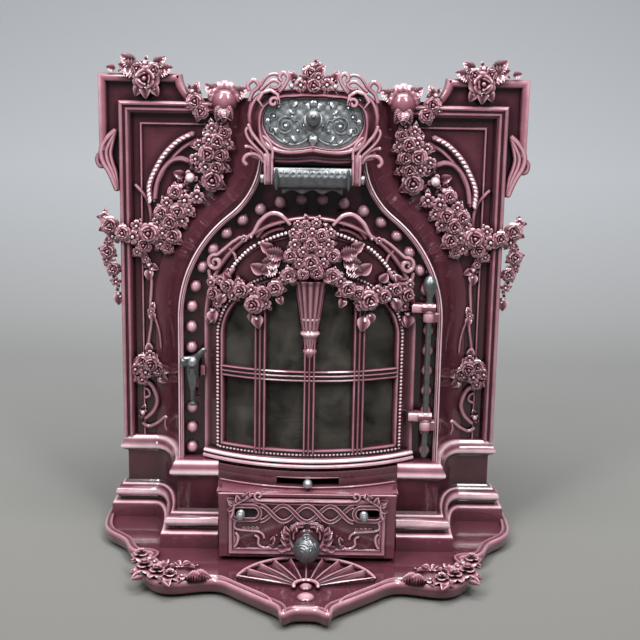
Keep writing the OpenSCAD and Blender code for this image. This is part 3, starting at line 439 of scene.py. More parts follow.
def select_only(ob):
    """Selects one object and makes it active."""
    bpy.ops.object.select_all(action="DESELECT")
    ob.select_set(True)
    bpy.context.view_layer.objects.active = ob


def turned(name, profile, at, axis, body, finish, replaces=(), steps=48, angle=35):
    """A turned piece: a profile of (radius, along) in mm spun about an axis through at."""
    z = Vector(axis).normalized()
    x = z.orthogonal().normalized()
    base = Vector(row_frame(*at))
    pts = [base + (x * r + z * a) * 0.001 for r, a in profile]
    mesh = bpy.data.meshes.new(name)
    mesh.from_pydata(pts, [(i, i + 1) for i in range(len(pts) - 1)], [])
    tmp = bpy.data.objects.new(name, mesh)
    bpy.context.scene.collection.objects.link(tmp)
    select_only(tmp)
    bpy.ops.object.mode_set(mode="EDIT")
    bpy.ops.mesh.select_all(action="SELECT")
    bpy.ops.mesh.spin(steps=steps, angle=2 * math.pi, center=base, axis=z)
    bpy.ops.mesh.select_all(action="SELECT")
    bpy.ops.mesh.remove_doubles(threshold=1e-6)
    bpy.ops.mesh.normals_make_consistent(inside=False)
    bpy.ops.object.mode_set(mode="OBJECT")
    bpy.data.objects.remove(tmp)
    finish_mesh(mesh, name, body, finish, replaces, angle, recalc=False)


# Patterns of the ornament


def pattern(parts):
    """Joins (points, faces, tones) into one pattern to stamp."""
    points, faces, tones, k = [], [], [], 0
    for p, f, t in parts:
        points.append(p)
        tones.append(np.broadcast_to(t, (len(p),)))
        faces += [[i + k for i in g] for g in f]
        k += len(p)
    return {"points": np.vstack(points), "faces": faces, "tones": np.concatenate(tones)}


def sphere_shape(segments, rings):
    """A ball of radius 1 as points and faces, poles up and down v."""
    bpy.ops.object.select_all(action="DESELECT")
    bpy.ops.mesh.primitive_uv_sphere_add(segments=segments, ring_count=rings, radius=1)
    ob = bpy.context.object
    p = np.array([v.co[:] for v in ob.data.vertices])[:, [0, 2, 1]]
    f = [tuple(g.vertices) for g in ob.data.polygons]
    bpy.data.objects.remove(ob)
    return p, f


def petal(length, width, rise, curl, thick=0.1, start=0.05, fold=0.12, base=0.35, tip=1.0):
    """A petal from the centre outwards along v: it rises by rise and its tip curls by curl."""
    p, f = sphere_shape(8, 7)
    s = (p[:, 1] + 1) / 2
    broad = 0.45 + 0.75 * s - 0.15 * s * s
    u = p[:, 0] * width * broad
    v = start + s * length
    w = p[:, 2] * thick + rise * s + curl * s * s + fold * (p[:, 0] ** 2) * broad
    # Paler towards the tip and sides, where the enamel runs thin; the upper side paler still as a painted
    # highlight, the underside darker as painted shade
    pale = np.clip(s * 0.75 + 0.35 * np.abs(p[:, 0]), 0, 1)
    t = base + (tip - base) * pale * (0.55 + 0.45 * (p[:, 2] > -0.1))
    return np.stack([u, v, w], 1), f, t


def ring_of(part, count, turn=0.0, lift=0.0):
    """The part copied round the centre, the first one turned by turn degrees."""
    p, f, t = part
    out = []
    for i in range(count):
        a = 2 * math.pi * i / count + math.radians(turn)
        c, s = math.cos(a), math.sin(a)
        q = np.stack([p[:, 0] * c - p[:, 1] * s, p[:, 0] * s + p[:, 1] * c, p[:, 2] + lift], 1)
        out.append((q, f, t))
    return out


def ball_part(r, at=(0, 0, 0), tone=0.85, segments=8, rings=6):
    """A ball, paler towards its crown as a painted highlight, darker at its foot as painted shade."""
    p, f = sphere_shape(segments, rings)
    return p * r + at, f, np.clip(tone - 0.5 + 0.3 * (p[:, 2] + 1), 0, 1)


def leaf_part(width=0.3, arch=0.18, crease=0.1, teeth=0):
    """A pointed leaf along v from 0 to 1."""
    n, m = 9 + 4 * teeth, 5
    s = np.linspace(0, 1, n)
    half = width * np.sin(np.pi * s ** 0.75) ** 0.8
    if teeth:
        half = half * (1 - 0.32 * (np.arange(n) % 2))
    t = np.linspace(-1, 1, m)
    u = half[:, None] * t
    v = s[:, None] + 0 * u - 0.05 * np.abs(t) * np.sin(np.pi * s)[:, None]
    w = arch * np.sin(np.pi * s)[:, None] + crease * np.abs(t)[None] * np.sin(np.pi * s)[:, None] + 0.04
    top = np.stack([u, v, w], -1).reshape(-1, 3)
    low = top * [1, 1, 0] - [0, 0, 0.05]
    faces = []
    for i in range(n - 1):
        for j in range(m - 1):
            a = i * m + j
            faces.append((a, a + 1, a + m + 1, a + m))
            b = a + n * m
            faces.append((b, b + m, b + m + 1, b + 1))
    edge = border(n, m)
    for a, b in zip(edge, edge[1:] + edge[:1]):
        faces.append((a, a + n * m, b + n * m, b))
    tone = 0.42 + 0.5 * np.abs(t)[None] + 0 * u
    return np.vstack([top, low]), faces, np.concatenate([tone.ravel(), np.full(n * m, 0.3)])


def make_patterns():
    """The patterns of the ornament, each about 1 from its root to its edge."""
    rose = ring_of(petal(0.82, 0.56, 0.3, -0.34, 0.12, 0.14, 0.2), 5, 0, 0.06)
    rose += ring_of(petal(0.55, 0.48, 0.42, -0.16, 0.1, 0.12, 0.2), 4, 30, 0.22)
    rose += ring_of(petal(0.3, 0.34, 0.42, -0.04, 0.09, 0.08, 0.16), 3, 75, 0.42)
    rose += [ball_part(0.17, (0, 0, 0.78), 0.7)]
    daisy = ring_of(petal(0.74, 0.4, 0.3, -0.26, 0.14, 0.12, 0.16), 5, 0, 0.12)
    daisy += [ball_part(0.22, (0, 0, 0.34), 0.95)]
    bud = [ball_part(0.42, (0, 0, 0.25), 0.9)] + ring_of(petal(0.62, 0.24, 0.15, 0.0, 0.12, 0.0), 3, 60, 0.05)
    grain = ball_part(0.62, (0, 0, 0.1), 1.0)
    return {
        "rose": pattern(rose),
        "daisy": pattern(daisy),
        "bud": pattern(bud),
        "leaf": pattern([leaf_part(0.38, 0.22)]),
        "frond": pattern([leaf_part(0.42, 0.2, 0.14, 2)]),
        "bead": pattern([ball_part(1.0, (0, 0, 0.1), 1.0, 8, 4)]),
        "ball": pattern([ball_part(1.0, (0, 0, 0), 0.85, 24, 12)]),
        "petal": pattern([petal(1.0, 0.34, 0.3, -0.25, 0.2, 0.0, 0.1)]),
        "grain": pattern([(grain[0] * [1.0, 1.6, 1], *grain[1:])]),
    }


def beads(c, line, r, gap, place, lift=0.0, shift=0.0):
    """Beads of radius r along a line, gap apart."""
    n = max(2, int(round(length_along(np.asarray(line, float))[-1] / gap)))
    for at in even_points(line, n + 1):
        c.stamp(ORN["bead"], at, r, 0, place, lift, shift=shift)


def volute(at, r, turns, start, hand=1, n=26, tail=()):
    """A spiral of n points that ends at its eye; tail points lead into it."""
    a = np.radians(start) + hand * np.linspace(0, 2 * math.pi * turns, n)
    k = np.linspace(1, 0.16, n)
    spiral = np.stack([at[0] + r * k * np.cos(a), at[1] + r * k * np.sin(a)], 1)
    return np.vstack([np.asarray(tail, float).reshape(-1, 2), spiral])


def ramp_radius(n, first, middle, last):
    """Radii of a stem of n points at its start, its middle and its end, with a swell between."""
    t = np.linspace(0, 1, n)
    return first + (middle - first) * np.sin(math.pi * t) + (last - first) * t ** 3


# The patterns by name, filled in by main
ORN = {}
# A stud of eight faces, of radius 1
STUD_POINTS = np.array([(0, 0, 1), (1, 0, 0), (0, 1, 0), (-1, 0, 0), (0, -1, 0), (0, 0, -1)], float)
STUD_FACES = [(0, 1, 2), (0, 2, 3), (0, 3, 4), (0, 4, 1), (5, 2, 1), (5, 3, 2), (5, 4, 3), (5, 1, 4)]


# Finishes

def linear(hex_colour):
    """An sRGB colour such as #7c3f4c as linear red, green, blue and alpha."""
    h = hex_colour.lstrip("#")
    out = []
    for i in (0, 2, 4):
        s = int(h[i:i + 2], 16) / 255
        out.append(s / 12.92 if s <= 0.04045 else ((s + 0.055) / 1.055) ** 2.4)
    return (*out, 1.0)


def node(tree, kind, links=None, **settings):
    """Adds a node with settings, and links of {socket: value or another node's socket}."""
    n = tree.nodes.new(kind)
    for key, value in settings.items():
        setattr(n, key, value)
    for key, value in (links or {}).items():
        socket = n.inputs[key]
        if isinstance(value, bpy.types.NodeSocket):
            tree.links.new(value, socket)
        else:
            socket.default_value = value
    return n


def ramp(tree, fac, stops):
    """A colour ramp over stops of (place, hex colour or grey level)."""
    n = node(tree, "ShaderNodeValToRGB", {"Fac": fac})
    e = n.color_ramp.elements
    while len(e) < len(stops):
        e.new(0.5)
    for q, (at, colour) in zip(e, stops):
        q.position = at
        q.color = linear(colour) if isinstance(colour, str) else (colour, colour, colour, 1)
    return n.outputs["Color"]


def math_node(tree, operation, a, b=0.0, clamp=False):
    """The result of one operation on two values."""
    return node(tree, "ShaderNodeMath", {0: a, 1: b}, operation=operation, use_clamp=clamp).outputs[0]


def multiplied(tree, a, b):
    """One colour multiplied by another."""
    links = {0: 1.0, 6: a, 7: b}
    return node(tree, "ShaderNodeMix", links, data_type="RGBA", blend_type="MULTIPLY").outputs[2]


def new_material(name):
    """An empty material, its node tree and its output node."""
    m = bpy.data.materials.new(name)
    m.use_nodes = True
    m.node_tree.nodes.clear()
    return m, m.node_tree, node(m.node_tree, "ShaderNodeOutputMaterial")


def noise(tree, scale, detail=3.0, rough=0.5, distort=0.0):
    """Noise with features of 1 / scale metres, in the object's own coordinates."""
    at = node(tree, "ShaderNodeTexCoord").outputs["Object"]
    links = {"Vector": at, "Scale": scale, "Detail": detail, "Roughness": rough, "Distortion": distort}
    return node(tree, "ShaderNodeTexNoise", links).outputs["Fac"]


def nearness(tree, distance):
    """How open a spot lies: 1 in the open, less where the casting's own walls are nearer than distance.
    The materials darken their colour by it, as painted shade.
    """
    shade = node(tree, "ShaderNodeAmbientOcclusion", {"Distance": distance}, samples=6, only_local=True)
    return shade.outputs["AO"]


def enamel_material(p):
    """Wine-red vitreous enamel on cast iron: dark where it pools in hollows, with painted shade
    there as well from the nearness of the casting's walls; pale and pinkish where it drew thin over
    edges, partly as a painted highlight; under a wet gloss."""
    m, t, out = new_material("wine_enamel")
    tone = node(t, "ShaderNodeAttribute", attribute_name="tone").outputs["Fac"]
    near = nearness(t, 0.014)
    # Nearness of the casting's walls darkens the colour: pooled enamel and painted shade in hollows
    pooling_and_shade = math_node(t, "MULTIPLY", math_node(t, "SUBTRACT", 1.0, near), -0.55)
    spread = {0: noise(t, 38.0, 4.0), 1: 0.16, 2: -0.08}
    uneven = node(t, "ShaderNodeMath", spread, operation="MULTIPLY_ADD").outputs[0]
    level = math_node(t, "ADD", math_node(t, "ADD", tone, pooling_and_shade), uneven, clamp=True)
    # Darkest stop: pooled enamel and painted shade; two palest stops: thin enamel and painted highlight
    colour = ramp(t, level, [(0.0, p.enamel_pooled_and_shade), (0.3, p.enamel_deep), (0.52, p.enamel_body),
                             (0.7, p.enamel_thin), (0.86, p.enamel_edge), (1.0, p.enamel_thinnest_and_highlight)])
    mottle = ramp(t, noise(t, 260.0, 3.0), [(0.35, 0.9), (0.65, 1.0)])
    colour = multiplied(t, colour, mottle)
    wave = node(t, "ShaderNodeBump", {"Strength": 0.12, "Distance": 0.0006, "Height": noise(t, 90.0, 2.0)})
    shader = node(t, "ShaderNodeBsdfPrincipled", {
        "Base Color": colour, "Roughness": p.enamel_roughness, "Specular IOR Level": 0.2,
        "Coat Weight": 1.0, "Coat Roughness": 0.06, "Coat IOR": 1.6,
        "Normal": wave.outputs["Normal"], "Coat Normal": wave.outputs["Normal"]})
    t.links.new(shader.outputs[0], out.inputs["Surface"])
    return m


def nickel_material(p, name="worn_nickel", shade=1.0):
    """Old nickel plating on iron, dull, and darkened in its hollows as painted shade."""
    m, t, out = new_material(name)
    near = nearness(t, 0.006)
    worn = noise(t, 160.0, 5.0, 0.6)
    patchy = math_node(t, "MULTIPLY", worn, 0.4)
    # Nearness of the walls darkens the plating as painted shade; the noise adds patchy wear
    level = math_node(t, "ADD", math_node(t, "MULTIPLY", near, 0.75), patchy, clamp=True)
    colour = ramp(t, level, [(0.15, "#303234"), (0.5, "#63676a"), (0.78, p.nickel), (1.0, "#c3c7ca")])
    colour = multiplied(t, colour, (shade, shade, shade, 1))
    rough = ramp(t, worn, [(0.3, 0.28), (0.7, 0.46)])
    bump = node(t, "ShaderNodeBump", {"Strength": 0.25, "Distance": 0.0004, "Height": noise(t, 420.0, 3.0)})
    shader = node(t, "ShaderNodeBsdfPrincipled", {
        "Base Color": colour, "Metallic": 0.85, "Roughness": rough, "Normal": bump.outputs["Normal"]})
    t.links.new(shader.outputs[0], out.inputs["Surface"])
    return m


def tarnished_material(p):
    """Nickel plating on the pieces that are handled, mostly worn through and tarnished."""
    return nickel_material(p, "tarnished_nickel", 0.42)


def iron_material(p):
    """Plain cast iron, blackened, a little rusty in places."""
    m, t, out = new_material("blackened_iron")
    patch = noise(t, 22.0, 5.0, 0.6)
    colour = ramp(t, patch, [(0.35, p.iron), (0.62, "#3f3c39"), (0.78, "#574136")])
    bump = node(t, "ShaderNodeBump", {"Strength": 0.35, "Distance": 0.0006, "Height": noise(t, 700.0, 3.0)})
    shader = node(t, "ShaderNodeBsdfPrincipled", {
        "Base Color": colour, "Metallic": 0.3, "Roughness": 0.62, "Normal": bump.outputs["Normal"]})
    t.links.new(shader.outputs[0], out.inputs["Surface"])
    return m


def brick_material(p):
    """Fireclay lining slabs, buff and sooted."""
    m, t, out = new_material("fireclay")
    soot = noise(t, 14.0, 5.0, 0.6)
    colour = ramp(t, soot, [(0.3, "#3f362d"), (0.6, p.brick), (0.8, "#9a866c")])
    bump = node(t, "ShaderNodeBump", {"Strength": 0.5, "Distance": 0.0008, "Height": noise(t, 500.0, 4.0)})
    shader = node(t, "ShaderNodeBsdfPrincipled", {
        "Base Color": colour, "Roughness": 0.9, "Normal": bump.outputs["Normal"]})
    t.links.new(shader.outputs[0], out.inputs["Surface"])
    return m


def mica_material(p):
    """Old mica sheet, smoky grey-brown and see-through."""
    m, t, out = new_material("smoky_mica")
    cloud = noise(t, 18.0, 4.0, 0.6, 0.6)
    tint = ramp(t, cloud, [(0.3, "#c9c6bf"), (0.7, "#e2e0da")])
    smoke = ramp(t, cloud, [(0.3, "#46433f"), (0.7, p.mica)])
    clear = node(t, "ShaderNodeBsdfTransparent", {"Color": tint})
    film = node(t, "ShaderNodeBsdfPrincipled", {"Base Color": smoke, "Roughness": 0.22})
    share = ramp(t, cloud, [(0.35, 0.2), (0.7, 0.38)])
    mixed = node(t, "ShaderNodeMixShader", {"Fac": share, 1: clear.outputs[0], 2: film.outputs[0]})
    t.links.new(mixed.outputs[0], out.inputs["Surface"])
    return m


# Each finish: the slot it fills, its material's name and the function that makes it
FINISHES = {
    "enamel": ("enamel", "wine_enamel", enamel_material),
    "nickel": ("nickel", "worn_nickel", nickel_material),
    "dark_nickel": ("nickel", "tarnished_nickel", tarnished_material),
    "iron": ("iron", "blackened_iron", iron_material),
    "brick": ("brick", "fireclay", brick_material),
    "mica": ("mica", "smoky_mica", mica_material),
}


def finish_material(finish):
    """The finish's material, made when it is first asked for."""
    key, make = FINISHES[finish][1:]
    return bpy.data.materials.get(key) or make(bpy.context.scene.stove_finish)


# Hearth and plinth

TRAY_HALF = [
    (304, 9), (303, -45), (292, -88), (262, -122), (244, -160), (215, -172), (226, -206), (212, -246),
    (182, -268), (131, -258), (110, -262), (88, -281), (59, -307), (36, -328), (29, -350), (14, -340),
    (0, -338)]
LIP = [
    (1.5, 6, .35), (0, 8.5, .5), (0.4, 12, .6), (-1.6, 16, .55), (-2.4, 19, .75), (-1.4, 22.4, .95),
    (0.8, 24, 1), (3, 23.2, .8), (4.6, 22, .45), (6, 22.6, .7), (7.6, 24.2, 1), (9.4, 23.6, .85),
    (10.8, 21, .35), (11, 19, .2), (11, 13, .2), (5, 12, .2), (5, 6, .2)]
PLINTH = [
    (22, 0, .4), (22, 19, .5), (21.4, 21.6, .8), (19.5, 23, 1), (14, 24.5, .6), (11.5, 26, .2),
    (11.2, 28, .15), (13.5, 30, .4), (16, 33, .8), (17, 37, .95), (16, 41, .85), (13, 44, .6),
    (9.6, 45.2, .35), (9, 46.6, .7), (7.8, 48.4, 1), (5, 49.4, .6), (1.5, 49.8, .3), (0, 52, .3),
    (0, 97, .45), (1, 99.5, .3), (4.5, 101, .45), (6.5, 103, .8), (9, 105, .95), (9.8, 107.5, 1),
    (9.2, 110.5, .8), (6.8, 113.5, .5), (5.5, 117, .7), (4.6, 120, 1), (2.5, 122.6, .9), (-3, 123, .6),
    (-9, 123, .4), (-9, 0, .2)]


def both_sides(c, half):
    """Adds what was cast for the right-hand side, and the same for the left."""
    left = half.mirrored()
    c.join(half)
    c.join(left)


def bouquet(c, items, place, relief=1.0):
    """Stamps (pattern, u, v, size, turn, height) one after another."""
    for kind, u, v, size, turn, w in items:
        c.stamp(ORN[kind], (u, v), size, turn, place, w, relief)


def fill_leaves(c, items, place, seed, lift=0.0, per=3, size=0.85):
    """Leaves that spread from under each flower of a bouquet, per of them to a flower."""
    rng = np.random.default_rng(seed)
    for kind, u, v, s, turn, w in items:
        if kind in ("leaf", "frond"):
            continue
        for k in range(per):
            a = 360 * (k + rng.uniform(-0.3, 0.3)) / per + turn
            r = math.radians(a)
            at = (u - math.sin(r) * s * 0.45, v + math.cos(r) * s * 0.45)
            long = s * size * rng.uniform(0.8, 1.15)
            c.stamp(ORN["leaf"], at, long, a, place, lift + w - s * 0.12, shift=-0.05)


# The shell on the tray: its middle, its reach, and the degrees and number of its flutes
SHELL_Y, SHELL_R, SHELL_FROM, SHELL_TURN, FLUTES = -272, 94, 13, 154, 10
CORNER = [
    ("rose", 226, -196, 15, 30, 5), ("daisy", 212, -214, 14, 0, 7), ("rose", 215, -236, 16, 80, 6),
    ("rose", 196, -250, 15, 10, 6), ("daisy", 203, -229, 10, 40, 11), ("rose", 178, -259, 14, 50, 5),
    ("daisy", 186, -240, 9, 10, 8), ("daisy", 163, -258, 10, 20, 5), ("frond", 158, -258, 24, 96, 4),
    ("frond", 150, -256, 26, 84, 3), ("frond", 226, -204, 24, -30, 4), ("frond", 196, -242, 22, 40, 7),
    ("leaf", 184, -266, 16, 150, 3), ("leaf", 216, -250, 16, -130, 3), ("bud", 140, -252, 6, 0, 5)]
SPRIG = [
    ("daisy", 170, -212, 6, 0, 1), ("leaf", 168, -210, 14, 70, 1), ("leaf", 172, -210, 13, -40, 1),
    ("leaf", 176, -214, 12, -110, 1), ("leaf", 160, -214, 11, 110, 1), ("bud", 148, -209, 3, 0, 1),
    ("leaf", 190, -206, 12, -20, 1)]


def shell_reach(a):
    """How far the shell reaches at an angle in radians, as an array or a number."""
    return SHELL_R * (0.88 + 0.1 * np.abs(np.cos(a)))


def cast_shell(c):
    """The fluted shell fan in front of the drawer."""
    ground = on_level(TRAY_Z)
    a = np.radians(np.linspace(SHELL_FROM, SHELL_FROM + SHELL_TURN, 161))
    t = np.linspace(0, FLUTES, 161) % 1.0
    rib = np.abs(2 * t - 1) ** 3
    reach = shell_reach(a)
    s = np.linspace(0, 1, 16)[:, None]
    r = 15 + (reach[None] - 15) * s
    w = 1.0 + (2.0 + 4.2 * s) * rib[None] + 1.2 * s * s
    w[-1] -= 4
    top = row_frame(r * np.cos(a), SHELL_Y + r * np.sin(a), TRAY_Z + w)
    low = row_frame(r * np.cos(a), SHELL_Y + r * np.sin(a), TRAY_Z - 2 + 0 * w)
    c.sheet(top, low, 0.3 + 0.6 * rib[None] * (0.6 + 0.4 * s) + 0 * s)
    edge = np.stack([(reach + 1.5) * np.cos(a), SHELL_Y + (reach + 1.5) * np.sin(a), 4.5 + 0 * a], 1)
    c.tube(edge, 2.6, ground, tone=1.0, low=0.3)
    for k in range(FLUTES + 1):
        b = math.radians(SHELL_FROM + SHELL_TURN * k / FLUTES)
        q = shell_reach(b)
        ends = [(14, 2.0), (q * 0.5, 4.2), (q, 6.5)]
        line = [(d * math.cos(b), SHELL_Y + d * math.sin(b), h) for d, h in ends]
        c.tube(line, [1.0, 1.7, 2.3], ground, tone=0.95, low=0.4)
    ring = arc(0, SHELL_Y - 2, 16, 200, -20, 24)
    c.tube(np.hstack([ring, np.full((25, 1), 4.0)]), 3.0, ground, tone=1.0, low=0.3)
    c.stamp(ORN["ball"], (0, SHELL_Y), 9, 0, ground, 1, 0.5, shift=-0.15)
    c.stamp(ORN["ball"], (0, SHELL_Y - 28), 12, 0, ground, 0, 0.4, shift=-0.1)


def cast_hearth(p):
    """The hearth tray: scalloped lip, floor, feet, shell, flowers and sprigs."""
    c = Casting()
    line = both_halves(smooth_line(TRAY_HALF, 6))[::-1]
    c.run(line, LIP, on_level(0), closed=True)
    floor = aside(line, 7, True)
    c.plate(floor, 12, TRAY_Z, on_level(0), tone=0.4)
    for x, y in ((250, -30), (-250, -30), (120, -225), (-120, -225)):
        c.plate(arc(x, y, 14, 0, 345, 23), 0, 14, on_level(0), tone=0.2)
    cast_shell(c)
    # A raised line inside the lip, flowers on the front corners and sprigs on the floor
    inner = smooth_line([(132, -243), (112, -247), (95, -262), (68, -286), (50, -303), (42, -320)], 6)
    stalk = smooth_line([(196, -204), (182, -212), (165, -213), (146, -208)], 5)
    for s in (1, -1):
        c.tube(inner * [s, 1], 2.2, on_level(TRAY_Z + 2), tone=0.95, low=0.35)
        half = Casting()
        fill_leaves(half, CORNER, on_level(TRAY_Z), 11, per=2)
        bouquet(half, CORNER, on_level(TRAY_Z), p.relief)
        bouquet(half, SPRIG, on_level(TRAY_Z), p.relief)
        half.tube(stalk, 1.5, on_level(TRAY_Z + 0.5), tone=0.8)
        c.join(half if s > 0 else half.mirrored())
    c.finish("cast_hearth", "stove", "enamel", ["hearth_plate"])


def plinth_line(u):
    """The plan of a plinth whose moulding stands out by u, from the pilaster to the drawer."""
    die_x, die_y, box_x, cove_x = PILASTER - 6, FRONT - 16, 126.0, RIM_R + COVE
    t = np.radians(np.linspace(0, 90, 25))
    cove = np.stack([cove_x - (COVE - 1 - u) * np.sin(t), die_y - u + (-7 - die_y) * np.cos(t)], 1)
    return np.vstack([[[die_x + u, WALL], [die_x + u, -7 - u]], cove, [[box_x, die_y - u]]])


def cast_plinths():
    """The two stepped plinths beside the drawer, each lofted from one profile."""
    c = Casting()
    prof = np.array(PLINTH)
    rows = np.stack([plinth_line(u) for u in prof[:, 0]], 1)
    points = row_frame(rows[..., 0], rows[..., 1], prof[None, :, 1] + TRAY_Z)
    c.grid(points, prof[None, :, 2], wrap_cols=True, caps=True)
    # Ledge under the ends of the door and the ball channel
    c.box((126.1, FRONT - 9, PLINTH_Z - 8), (RIM_R - 0.2, FLOOR_Y, PLINTH_Z - 0.1), 0.3)
    c.box((140.2, FLOOR_Y - 1, PLINTH_Z - 8), (RIM_R - 0.2, INNER_Y, PLINTH_Z - 0.1), 0.3)
    c.finish("cast_plinth_right", "stove", "enamel", ["plinth_right"], 32)
    c.mirrored().finish("cast_plinth_left", "stove", "enamel", ["plinth_left"], 32)


# Wings

EAR_BAND = [
    (0, -8, .5), (0, 7, .8), (1.4, 10, 1), (4, 11.4, .95), (7, 11.4, .85), (10, 10, .85),
    (12, 6.5, .45), (13, 1, .15), (13, -2, .1)]
FRAME = [
    (0, -8, .5), (0, 10, .75), (1.2, 14, 1), (3.6, 16, 1), (6.2, 15.2, .8), (7.4, 12.4, .3),
    (8.8, 12, .3), (10.4, 13.6, .85), (13, 13.6, .95), (15, 10.4, .6), (16.6, 9.6, .4), (18.4, 4.5, .3),
    (20, 0, .15), (20, -2, .1)]
LINE = [(0, -2, .2), (0, 2.6, .6), (1.2, 4.4, 1), (3, 4.4, .9), (4.6, 1.6, .4), (5, -2, .1)]
# How far out the great bud on the shoulder lies
BUD_X = 128
# Flowers of the right wing as (pattern, across, up, size, turn, height)
WING_BLOOMS = [
    ("rose", 240, 672, 21, 20, 13), ("rose", 228, 684, 13, 0, 13), ("rose", 252, 686, 12, 50, 13),
    ("bud", 241, 694, 10, 0, 12), ("frond", 248, 682, 34, -72, 9), ("frond", 256, 690, 26, -50, 10),
    ("frond", 226, 682, 26, 74, 9), ("frond", 228, 690, 22, 50, 10), ("leaf", 240, 664, 20, 180, 16),
    ("leaf", 248, 664, 18, 205, 14), ("leaf", 230, 664, 18, 155, 14), ("bud", 240, 656, 6, 0, 16),
    ("leaf", 284, 686, 14, -80, 9), ("bud", 276, 686, 5, 0, 11), ("rose", 170, 642, 14, 10, 12),
    ("rose", 162, 628, 13, 60, 12), ("bud", 174, 656, 9, 0, 12), ("frond", 172, 652, 20, 20, 10),
    ("daisy", 146, 604, 11, 0, 12), ("daisy", 132, 612, 12, 30, 12), ("rose", 128, 598, 11, 0, 12),
    ("daisy", 150, 588, 12, 50, 14), ("rose", 138, 585, 14, 0, 13), ("daisy", 124, 582, 11, 10, 10),
    ("rose", 152, 568, 15, 70, 14), ("daisy", 165, 580, 10, 0, 10), ("rose", 134, 566, 13, 10, 12),
    ("daisy", 170, 560, 11, 20, 11), ("rose", 140, 548, 13, 0, 13), ("daisy", 155, 549, 12, 0, 15),
    ("rose", 145, 530, 18, 120, 12), ("bud", 178, 533, 19, 40, 8), ("daisy", 128, 548, 9, 0, 9),
    ("bud", 192, 520, 11, 0, 8), ("daisy", 168, 506, 13, 0, 12), ("daisy", 186, 500, 13, 30, 12),
    ("rose", 200, 512, 12, 0, 11), ("daisy", 180, 486, 11, 10, 11), ("rose", 196, 484, 14, 40, 12),
    ("daisy", 212, 496, 11, 0, 11), ("rose", 220, 482, 12, 10, 12), ("daisy", 190, 470, 12, 0, 11),
    ("rose", 208, 468, 14, 0, 13), ("daisy", 226, 468, 10, 20, 12), ("rose", 204, 448, 14, 0, 12),
    ("daisy", 218, 452, 11, 0, 14), ("rose", 238, 452, 17, 30, 14), ("daisy", 222, 436, 11, 10, 11),
    ("rose", 212, 430, 10, 0, 9), ("daisy", 256, 462, 11, 0, 14), ("daisy", 262, 446, 13, 20, 14),
    ("rose", 276, 452, 13, 0, 16), ("rose", 246, 434, 13, 50, 11), ("daisy", 256, 424, 9, 0, 10),
    ("rose", 296, 462, 15, 0, 9), ("daisy", 304, 474, 10, 0, 7), ("daisy", 292, 446, 11, 0, 10),
    ("rose", 300, 424, 13, 20, 7), ("daisy", 297, 438, 9, 0, 8), ("rose", 293, 398, 12, 0, 6),
    ("daisy", 302, 410, 9, 0, 6), ("daisy", 289, 378, 9, 10, 5), ("bud", 286, 360, 8, 0, 4),
    ("leaf", 285, 362, 20, 184, 3), ("bud", 240, 404, 8, 0, 6), ("daisy", 245, 412, 7, 0, 7),
    ("leaf", 240, 398, 18, 182, 3), ("leaf", 238, 404, 14, 120, 4), ("daisy", 238, 334, 7, 0, 4),
    ("leaf", 238, 336, 13, 20, 3), ("leaf", 238, 332, 14, 160, 3), ("rose", 252, 258, 12, 0, 8),
    ("rose", 238, 254, 14, 40, 9), ("daisy", 262, 246, 11, 0, 8), ("daisy", 246, 242, 12, 0, 10),
    ("rose", 228, 246, 12, 0, 8), ("daisy", 240, 268, 9, 0, 7), ("daisy", 268, 232, 9, 0, 7),
    ("frond", 226, 248, 20, 100, 5), ("frond", 228, 238, 20, 130, 5), ("leaf", 240, 272, 16, -12, 4),
    ("bud", 218, 232, 5, 0, 4), ("daisy", 252, 230, 10, 0, 7), ("bud", 252, 178, 10, 0, 5)]
# Stems of the right wing as (radius, height, line)
WING_STEMS = [
    (4.6, 7, [(172, 597), (194, 586), (214, 567), (229, 543), (238, 520), (237, 498)]),
    (3.2, 5, [(166, 588), (186, 578), (204, 561), (219, 540), (229, 516), (232, 496)]),
    (4.4, 5, [(178, 556), (192, 560), (206, 557), (220, 542), (228, 522), (231, 500)]),
    (2.8, 4, [(260, 522), (252, 514), (243, 503), (238, 488), (236, 466)]),
    (2.6, 4, [(240, 404), (237, 380), (239, 345), (238, 318), (242, 290), (244, 268)]),
    (1.8, 4, [(238, 336), (232, 322), (226, 300), (224, 276)]),
    (3.6, 5, [(262, 232), (254, 230), (240, 222), (232, 206), (231, 192), (238, 178), (250, 168)]),
    (2.4, 4, [(250, 216), (243, 212), (242, 204), (250, 200)]),
    (3.2, 4, [(254, 162), (244, 156), (230, 162), (220, 170), (212, 168), (208, 156)]),
    (2.4, 4, [(218, 170), (219, 158), (214, 149), (204, 150)]),
    (2.2, 4, [(214, 228), (206, 214), (203, 200), (206, 186), (212, 172)])]


def ear_step():
    """The line that steps down from the top of the ear to the shoulder."""
    return smooth_line([(190, EAR_TOP), (187, EAR_TOP - 14), (175, SHOULDER)], 6)


def wing_outline():
    """The outline of the right wing, round from the foot of the pilaster to the cove."""
    side = smooth_line([(PILASTER, EAR_LOW - 66), (PILASTER + 8, EAR_LOW - 40),
                        (PILASTER + 24, EAR_LOW - 18), (EAR, EAR_LOW - 8)], 6)
    foot = [[PILASTER, PLINTH_Z], [PILASTER, EAR_LOW - 68]]
    ear = [[EAR, EAR_LOW], [EAR, EAR_TOP]]
    return np.vstack([foot, side, ear, ear_step(), rim_line(COVE, PLINTH_Z, SHOULDER)[::-1]])


